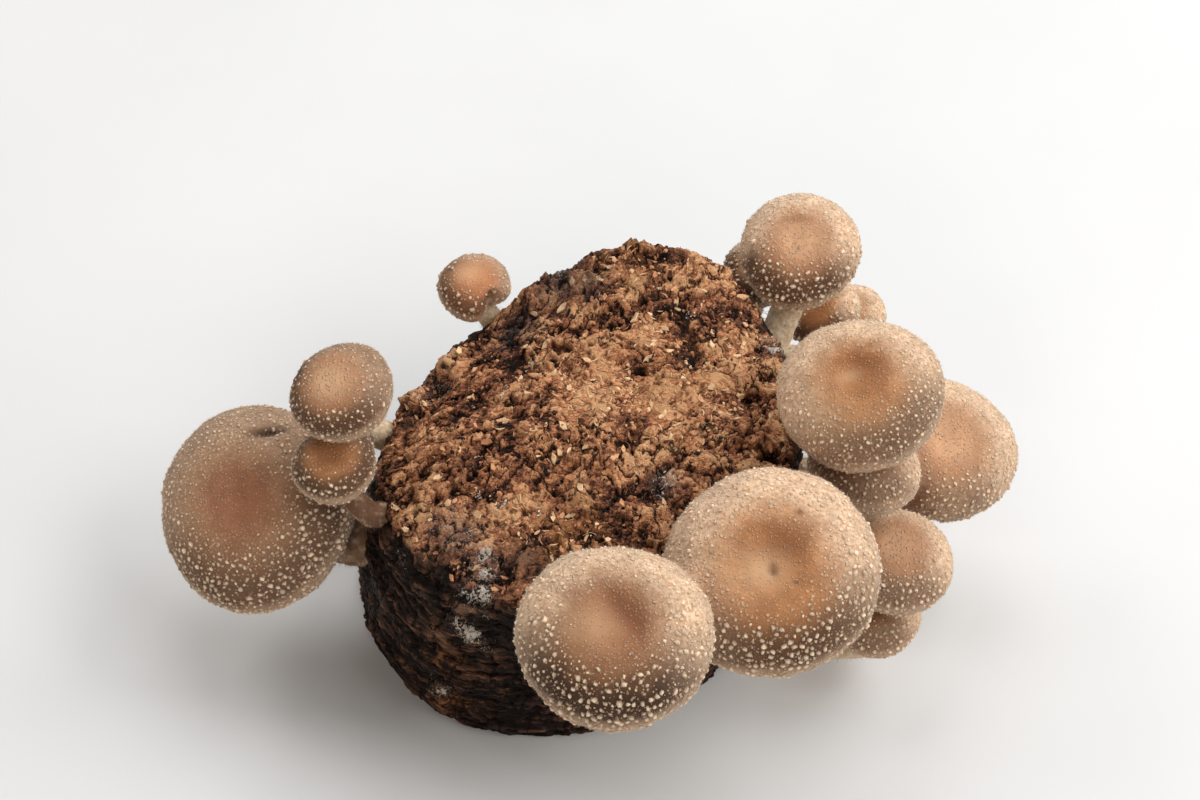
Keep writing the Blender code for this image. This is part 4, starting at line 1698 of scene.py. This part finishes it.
        # Painted light: the pale bloom is made strongest on the side that faces the lamps, with only the rind
        # elsewhere; the thin pale rim at the very margin is real down.
        frosted = math.radians(m.frost_angle)
        lit = (x * math.cos(frosted) + y * math.sin(frosted)) / np.maximum(np.hypot(x, y), 0.01)
        facing = smooth(lit + m.frost_reach, -0.50, 0.60)
        frost = smooth(ring + 0.06 * wander, 0.28, 0.78) * (m.rind + (m.frost - m.rind) * facing)
        frost = np.maximum(frost, 0.5 * smooth(ring, 0.93, 1.02)) * (1 - 0.6 * tones["bare"])
        outer = smooth(ring + 0.10 * wander, m.fleck_start, m.fleck_start + 0.22)
        lip_end = 1 - smooth(ring, 1.22, 1.42)
        radial = columns(local[:, 0], local[:, 1], -0.6 * m.radius * smooth(ring, 0.5, 1.1))
        radial[np.linalg.norm(radial, axis=1) < 1e-6] = (1.0, 0.0, 0.0)
        far = 1 - smooth(ring, 0.98, 1.25)
        set_numbers(
            mesh, place=local, ring=ring, outward=m.turned(radial), frost=frost, **tones,
            speckle=open_skin * (1 - smooth(ring, 1.2, 1.5)),
            fleck_room=np.clip(outer * (0.40 + 0.80 * rows) * lip_end * open_skin * m.flecks, 0, 1),
            fleck_size=(0.5 + 0.5 * smooth(ring, m.fleck_start, 0.72)) * (0.55 + 0.45 * far)
            * (1.05 - 0.3 * smooth(lit, -0.2, 0.9)) * m.fleck_size,
            dot_room=np.clip((0.8 - 0.35 * smooth(ring, 0.5, 0.8)) * (1 - 0.5 * frost) * lip_end
                             * open_skin, 0, 1),
            dot_size=0.55 + 0.6 * smooth(ring, 0.1, 0.65),
            down_room=smooth(ring, 0.80, 1.0) * (1 - smooth(ring, 1.25, 1.4)),
            even=np.ones(len(local)))

    def gill_seats(self) -> Mesh:
        """One point for each gill, with its heading and length."""
        m = self.mushroom
        count = m.detail().gills
        angle = turns(count)
        edge = self.shaped(*(np.full(count, share) for share in self.gill_edge), angle)
        reach = np.hypot(edge[:, 0], edge[:, 1])
        inner = np.minimum(m.stem_radius() * 0.8, reach * 0.8)
        short = np.where(np.arange(count) % 2 == 1, self.short_gill, 0.0)
        start = inner + (reach - inner) * short
        points = around(start, angle, CEILING * m.radius + self.gill_gap)
        mesh = bpy.data.meshes.new("gill_seats")
        mesh.from_pydata((points * MM).tolist(), [], [])
        set_numbers(mesh, heading=angle, length=(reach - start) * MM)
        return mesh

    def build(self, scatter: ScatterTree, gill_tree: GrowthTree) -> None:
        """Make the cap's pieces.

        Args:
            scatter: Tree that grows the scales and down.
            gill_tree: Tree that grows the gills.
        """
        m = self.mushroom
        skin = self.skin()
        skin.materials.append(self.finish[m.tone])
        grain = (0.82 + 0.18 * min(1.0, m.radius / USUAL_CAP)) * MM
        dressed = grow(scatter, skin, {
            "Material": self.scales, "Seed": int(m.radius * 10 + m.facing),
            "Fleck size": grain, "Dot size": grain, "Down size": grain})
        piece(f"cap_{m.name}_skin", skin, "cap_skin", f"cap_{m.name}")
        piece(f"cap_{m.name}_scales", dressed, "cap_skin")
        gills = grow(gill_tree, self.gill_seats(), {
            "Material": self.gills, "Depth": self.gill_depth * m.radius * MM,
            "Thickness": self.gill_thickness * MM})
        gills.transform(Matrix.Translation(Vector(m.centre) * MM) @ m.turn().to_4x4())
        piece(f"gills_{m.name}", gills, "stem_flesh")


class GillTree(GrowthTree):
    """Stands a thin blade on each seat, pointing outwards."""

    def __init__(self) -> None:
        """Build the tree, with the blades' depth and thickness as inputs."""
        super().__init__("gills")
        depth = self.input("Depth", value=2 * MM)
        thickness = self.input("Thickness", value=0.3 * MM)
        blade = self.add("GeometryNodeObjectInfo", {"Object": self.blade()})
        turn = self.triple(z=self.named("heading"))
        scale = self.triple(self.named("length"), thickness, depth)
        placed = self.give("GeometryNodeInstanceOnPoints", {
            "Points": self.entry.outputs["Geometry"], "Instance": blade.outputs["Geometry"],
            "Rotation": turn, "Scale": scale})
        self.close(placed)

    def blade(self) -> bpy.types.Object:
        """A blade of unit length, thickness and depth that hangs from its top edge."""
        rings = []
        for share, depth in ((0.0, 0.35), (0.25, 0.95), (0.55, 1.0), (0.8, 0.75), (1.0, 0.2)):
            rings.append(np.array([(share, 0.5, 0.0), (share, 0.22, -depth), (share, -0.22, -depth),
                                   (share, -0.5, 0.0)]))
        points = np.vstack(rings)
        faces = [(0, 1, 2, 3), (19, 18, 17, 16)]
        for k in range(4):
            faces += band(4 * k, 4 * k + 4, 4, flipped=True)
        mesh = bpy.data.meshes.new("blade")
        mesh.from_pydata(points.tolist(), [], faces)
        face_outwards(mesh)
        self.template = bpy.data.objects.new("blade", mesh)
        return self.template


class StemTree(GrowthTree):
    """Draws a tube along a path, and roughens it."""

    def __init__(self) -> None:
        """Build the tree, with the tube's sides and roughness as inputs."""
        super().__init__("stem")
        sides = self.input("Sides", "NodeSocketInt", 28)
        rough = self.input("Roughness", value=MM)
        curve = self.give("GeometryNodeMeshToCurve", {"Mesh": self.entry.outputs["Geometry"]})
        ring = self.give("GeometryNodeCurvePrimitiveCircle", {"Resolution": sides, "Radius": 1.0})
        tube = self.give("GeometryNodeCurveToMesh", {
            "Curve": curve, "Profile Curve": ring, "Scale": self.named("girth"),
            "Fill Caps": True})
        place = self.give("GeometryNodeInputPosition")
        flutes = self.noise(place, 3.0 * MM, detail=3.0, rough=0.55)
        push = self.times(self.math("SUBTRACT", flutes, 0.5), rough)
        offset = self.scaled(self.give("GeometryNodeInputNormal"), push)
        self.moved(tube, offset)


@dataclass
class Stem:
    """A bent stem from under its cap to its root in the block, with loose fibres."""

    mushroom: Mushroom
    block: SubstrateBlock
    flesh: Material
    tufts: Material
    stations: int = 26
    neck_share: float = 0.9
    root_rise: float = 0.35
    root_handle: float = 0.8
    root_depth: float = 5.0
    root_flare: float = 1.18
    seat_level: float = -0.12
    fit_gap: float = 0.3
    roughness: float = 1.6
    tuft_share: float = 0.8

    def route(self) -> Array:
        """Centre line of the stem, from inside the cap to its root.

        Returns:
            Points in millimetres.
        """
        m = self.mushroom
        axis, centre = m.axis(), Vector(m.centre)
        seat = centre + axis * (self.seat_level * m.radius - self.fit_gap)
        start = seat - axis * m.stem_radius() * self.neck_share
        angle = math.radians(m.root_angle)
        outward = Vector((math.cos(angle), math.sin(angle), 0.0))
        radius = self.block.section_at(np.array([angle]), np.array([m.root_height]))[0]
        wall = outward * float(radius)
        wall.z = m.root_height
        inward = -(outward + Vector((0.0, 0.0, self.root_rise))).normalized()
        reach = (wall - start).length * m.bend
        first = start - axis * reach
        second = wall - inward * reach * self.root_handle
        points = [centre + axis * (CEILING * m.radius), seat]
        for k in range(self.stations):
            t = k / (self.stations - 1)
            points.append(start * (1 - t) ** 3 + first * 3 * t * (1 - t) ** 2
                          + second * 3 * t**2 * (1 - t) + wall * t**3)
        points.append(wall + inward * self.root_depth)
        return np.array([tuple(point) for point in points])

    def build(self, tree: StemTree, scatter: ScatterTree) -> None:
        """Make the stem and its fibres.

        Args:
            tree: Tree that draws the tube.
            scatter: Tree that grows the fibres.
        """
        m = self.mushroom
        points = self.route()
        count = len(points)
        line = bpy.data.meshes.new("stem_line")
        line.from_pydata((points * MM).tolist(), [(i, i + 1) for i in range(count - 1)], [])
        share = np.linspace(0, 1, count)
        swell = 1 + (self.root_flare - 1) * share**2
        set_numbers(line, girth=m.stem_radius() * swell * MM)
        stem = grow(tree, line, {"Material": self.flesh, "Sides": m.detail().sides,
                                 "Roughness": self.roughness * MM})
        stem.shade_smooth()
        count = len(stem.vertices)
        # The stem's darkening number: browning and painted shade.
        set_numbers(stem, even=np.ones(count), tuft_room=np.full(count, self.tuft_share),
                    stain=np.full(count, m.stem_stain), outward=np.tile(np.array(-m.axis()), (count, 1)))
        tufts = grow(scatter, stem, {"Material": self.tufts, "Seed": int(m.radius * 7)})
        piece(f"stem_{m.name}_flesh", stem, "stem_flesh", f"stem_{m.name}")
        piece(f"stem_{m.name}_fibres", tufts, "stem_flesh")


MUSHROOMS = (
    Mushroom("front", (9.0, -90.5, 84.7), 26.5, 20, 258, -84, 50, dip=0.11, dip_at=(0.10, 0.02),
             squash=-0.025, squash_angle=-45, frost_angle=80, frost_reach=0.30,
             marks=(Mark((0.10, 0.10), (0.34, 0.13), 128, depth=1.0, red=0.75, bare=0.3),
                    Mark((-0.20, -0.02), (0.30, 0.26), pale=0.35, bare=0.5))),
    Mushroom("right_front", (52.2, -62.0, 77.0), 30.3, 26, 267, -52, 50, dip=0.13, tone=CapTone.ORANGE,
             fleck_start=0.42, frost_angle=104, frost_reach=0.5,
             marks=(Mark((0.0, -0.08), (0.042, 0.055), depth=2.4, dark=1.0, bare=1.0),
                    Mark((0.0, -0.08), (0.085, 0.095), depth=-0.5, red=0.75, bare=1.0),
                    Mark((-0.03, -0.07), (0.20, 0.18), pale=0.45, bare=0.5),
                    Mark((0.13, 0.16), (0.30, 0.16), 20, red=0.40),
                    Mark((-0.22, -0.10), (0.30, 0.24), pale=0.30),
                    Mark((0.26, 0.44), (0.035, 0.03), dark=0.7, bare=1.0),
                    Mark((0.21, -0.21), (0.028, 0.02), dark=0.9, bare=1.0),
                    Mark((-0.54, 0.07), (0.022, 0.015), dark=0.9, bare=1.0))),
    Mushroom("left_large", (-96.4, -14.0, 48.5), 30.4, 36, 246, 192, 34, dip=0.06, bend=0.42,
             tone=CapTone.GREY, fleck_size=0.95, flecks=1.6, frost=0.4,
             frost_angle=118, stem_stain=0.85,
             marks=(Mark((0.28, 0.66), (0.16, 0.045), 6, depth=1.8, dark=0.85, bare=1.0),
                    Mark((0.30, 0.655), (0.13, 0.022), 6, depth=0.8, dark=1.0, bare=1.0),
                    # Painted shadow of the block and the caps beside it, on this cap's right side.
                    Mark((0.92, -0.05), (0.22, 0.60), dark=0.35),
                    Mark((0.14, -0.07), (0.26, 0.24), red=0.30, depth=0.5),
                    Mark((0.28, 0.25), (0.16, 0.14), red=0.2))),
    Mushroom("right_top", (78.9, -11.5, 95.0), 23.8, 21, 239, 22, 67, dip=0.12, dip_at=(0.0, 0.12),
             bend=0.38, tone=CapTone.ORANGE, fleck_start=0.46, fleck_size=0.75, flecks=1.6,
             frost_angle=112, frost_reach=0.45, rind=0.15,
             marks=(Mark((0.07, 0.22), (0.30, 0.12), -10, depth=0.7, red=0.35, bare=0.4),
                    Mark((-0.10, 0.04), (0.16, 0.10), 15, red=0.25, pale=0.35, bare=0.8),
                    Mark((0.17, 0.41), (0.22, 0.05), 20, depth=0.6, red=0.3),
                    Mark((-0.35, -0.40), (0.40, 0.30), -45, pale=0.25))),
    Mushroom("right_outer", (107.5, 7.6, 50.0), 22.8, 27, 285, 8, 34, dip=0.07, tone=CapTone.FAWN,
             fleck_start=0.36, fleck_size=0.9, flecks=1.4, rind=0.35,
             marks=(Mark((-0.44, -0.76), (0.22, 0.12), 30, red=0.5, bare=1.0),)),
    Mushroom("right_tucked", (81.5, -18.6, 71.0), 16.9, 10, 75, -10, 52, dip=0.03, tone=CapTone.GREY,
             fleck_size=0.85, flecks=1.3, rind=0.15),
    Mushroom("right_low", (90.5, -32.0, 46.0), 18.0, 8, 300, -15, 37, dip=0.05, bend=0.2, tone=CapTone.FAWN,
             fleck_start=0.42, fleck_size=0.95, flecks=1.5, rind=0.2),
    Mushroom("right_lowest", (87.0, -36.0, 25.0), 13.8, 12, 200, -34, 14, dip=0.03, tone=CapTone.GREY,
             fleck_size=0.9, flecks=1.4, rind=0.15),
    Mushroom("back_right", (65.6, 56.2, 86.0), 18.7, 25, 259, 35, 60, dip=0.05, bend=0.3, tone=CapTone.FAWN,
             frost_angle=80, frost_reach=0.3,
             marks=(Mark((0.04, 0.36), (0.24, 0.08), red=0.45),
                    Mark((-0.03, -0.15), (0.025, 0.025), dark=0.7, bare=1.0),
                    Mark((-0.80, -0.27), (0.10, 0.14), dark=0.6, bare=0.7))),
    Mushroom("back_right_far", (55.3, 75.5, 58.0), 12.4, 11, 272, 50, 42, dip=0.04, tone=CapTone.FAWN),
    Mushroom("back_right_near", (74.2, 59.5, 57.0), 12.2, 25, 222, 22, 44, dip=0.04, bend=0.3,
             tone=CapTone.ORANGE, marks=(Mark((-0.24, -0.42), (0.5, 0.34), red=0.35, bare=1.0),)),
    Mushroom("back_right_outer", (84.6, 71.0, 42.0), 12.0, 18, 224, 42, 26, dip=0.03, tone=CapTone.FAWN),
    Mushroom("left_top", (-68.2, -10.8, 95.0), 15.6, 27, 225, 170, 53, dip=0.04, tone=CapTone.FAWN,
             fleck_start=0.36, fleck_size=0.8, flecks=1.3, frost=0.3,
             marks=(Mark((-0.74, 0.43), (0.10, 0.12), depth=0.6, dark=0.7, bare=1.0),
                    Mark((0.0, 0.05), (0.34, 0.26), pale=0.4))),
    Mushroom("left_middle", (-70.8, -20.9, 75.6), 12.7, 12, 250, 205, 61, dip=0.04, bend=0.35,
             tone=CapTone.ORANGE, fleck_start=0.36, fleck_size=0.8, flecks=1.3, frost=0.1,
             frost_angle=100, stem_stain=0.95,
             # Painted shadow of the cap above, on this cap's top.
             marks=(Mark((0.0, 0.62), (0.75, 0.38), dark=0.5),)),
    Mushroom("back_left", (-32.8, 53.5, 73.0), 11.8, 18, 300, 118, 60, dip=0.05, notch=0.46,
             notch_angle=-46, notch_width=0.42, tone=CapTone.RUST, flecks=0.6, frost=0.4,
             marks=(Mark((-0.25, 0.15), (0.5, 0.3), 20, pale=0.45, bare=0.6),)),
)


@dataclass(frozen=True)
class Lamp:
    """A round soft light, by its angles in degrees, diameter in metres and power in watts."""

    name: str
    turn: float
    height: float
    size: float
    power: float
    tint: Triple = (1.0, 1.0, 1.0)


@dataclass
class Studio:
    """Pale floor, soft lights round the block, and the camera."""

    floor_side: float = 8.0
    floor_white: float = 0.80
    lens: float = 85.0
    camera_at: Triple = (0.0052, -0.5604, 0.6809)
    camera_lean: float = 43.0
    sensor: float = 36.0
    nearest: float = 0.01
    lamp_distance: float = 1.7
    lamps: tuple[Lamp, ...] = (
        Lamp("key", 26, 45, 1.2, 16.0), Lamp("side", 330, 45, 1.1, 12.5), Lamp("back", 95, 60, 1.0, 8.5),
        Lamp("left", 145, 45, 0.8, 6.0), Lamp("fill", 250, 25, 1.1, 8.0, (1.0, 0.90, 0.80)),
    )
    sky: float = 0.06

    def floor(self) -> None:
        """Lay the floor under the block."""
        half = self.floor_side / 2
        mesh = bpy.data.meshes.new("floor")
        mesh.from_pydata([(-half, -half, 0), (half, -half, 0), (half, half, 0), (-half, half, 0)], [],
                         [(0, 1, 2, 3)])
        floor = in_scene("floor", mesh)
        sheet = SurfaceSheet("floor_cloth")
        place = sheet.add("ShaderNodeTexCoord").outputs["Object"]
        cloud = sheet.noise(place, 0.12, detail=3.0)
        white = self.floor_white
        colour = sheet.tint(sheet.span(cloud, 0.3, 0.7), (white, white, white, 1.0),
                            (white * 0.97, white * 0.97, white * 0.965, 1.0))
        mesh.materials.append(sheet.shade(colour, 0.9, 0.1))

    def light(self) -> None:
        """Set the faint sky and the lamps."""
        world = bpy.data.worlds.new("studio")
        world.use_nodes = True
        background = world.node_tree.nodes["Background"]
        background.inputs["Color"].default_value = (1.0, 1.0, 1.0, 1.0)
        background.inputs["Strength"].default_value = self.sky
        bpy.context.scene.world = world
        for lamp in self.lamps:
            self.hang(lamp)

    def hang(self, lamp: Lamp) -> None:
        """Hang a lamp that faces the block."""
        data = bpy.data.lights.new(lamp.name, "AREA")
        data.shape = "DISK"
        data.size = lamp.size
        data.energy = lamp.power
        data.color = lamp.tint
        made = in_scene(lamp.name, data)
        turn, height = math.radians(lamp.turn), math.radians(lamp.height)
        made.location = self.lamp_distance * Vector((
            math.cos(height) * math.cos(turn), math.cos(height) * math.sin(turn), math.sin(height)))
        made.rotation_mode = "QUATERNION"
        made.rotation_quaternion = (-made.location).to_track_quat("-Z", "Y")

    def camera(self) -> None:
        """Stand the camera at the usual view."""
        data = bpy.data.cameras.new("camera")
        data.lens = self.lens
        data.sensor_width = self.sensor
        data.clip_start = self.nearest
        camera = in_scene("camera", data)
        camera.location = self.camera_at
        camera.rotation_euler = (math.radians(self.camera_lean), 0.0, 0.0)
        bpy.context.scene.camera = camera
        bpy.context.scene.view_settings.view_transform = "Standard"

    def build(self) -> None:
        """Set up the whole studio."""
        self.floor()
        self.light()
        self.camera()


def main() -> None:
    """Build the studio, the block and the mushrooms, and note the sizes."""
    logging.basicConfig(level=logging.INFO, format="%(name)s: %(message)s")
    Studio().build()
    kinds = {Shape.CRUMB: 6, Shape.FLAKE: 6, Shape.SPLINTER: 5, Shape.THREAD: 7, Shape.FLECK: 8,
             Shape.DOT: 4, Shape.HAIR: 6}
    boxes = {shape: ShapeBox(shape, count, FIRST_SEED + number)
             for number, (shape, count) in enumerate(kinds.items())}
    block = SubstrateBlock()
    block.build(boxes)
    skins = {tone: CapFinish(tone).material() for tone in CapTone}
    scales = ScaleFinish().material()
    flesh = FleshFinish()
    stem_flesh, gill_flesh, tufts = flesh.stem(), flesh.gills(), flesh.tufts()
    scatter = ScatterTree("cap_scales", [
        Layer("Fleck", Shape.FLECK, "fleck_room", 1.62, 0.75, 2.0, "fleck_size", spin=0.8, lean=0.16),
        Layer("Dot", Shape.DOT, "dot_room", 1.2, 0.4, 0.9, "dot_size", lean=0.1, hue=0.5),
        Layer("Down", Shape.HAIR, "down_room", 0.52, 0.4, 0.8, spin=1.2, lean=0.35, hue=1.0),
    ], boxes)
    shag = ScatterTree("stem_fibres", [
        Layer("Tuft", Shape.HAIR, "tuft_room", 0.85, 0.7, 1.6, spin=0.6, lean=0.5),
    ], boxes)
    gill_tree = GillTree()
    stem_tree = StemTree()
    for mushroom in MUSHROOMS:
        Cap(mushroom, skins, scales, gill_flesh).build(scatter, gill_tree)
        Stem(mushroom, block, stem_flesh, tufts).build(stem_tree, shag)
    for box in boxes.values():
        box.remove()
    bpy.data.objects.remove(gill_tree.template)


if __name__ == "__main__":
    main()
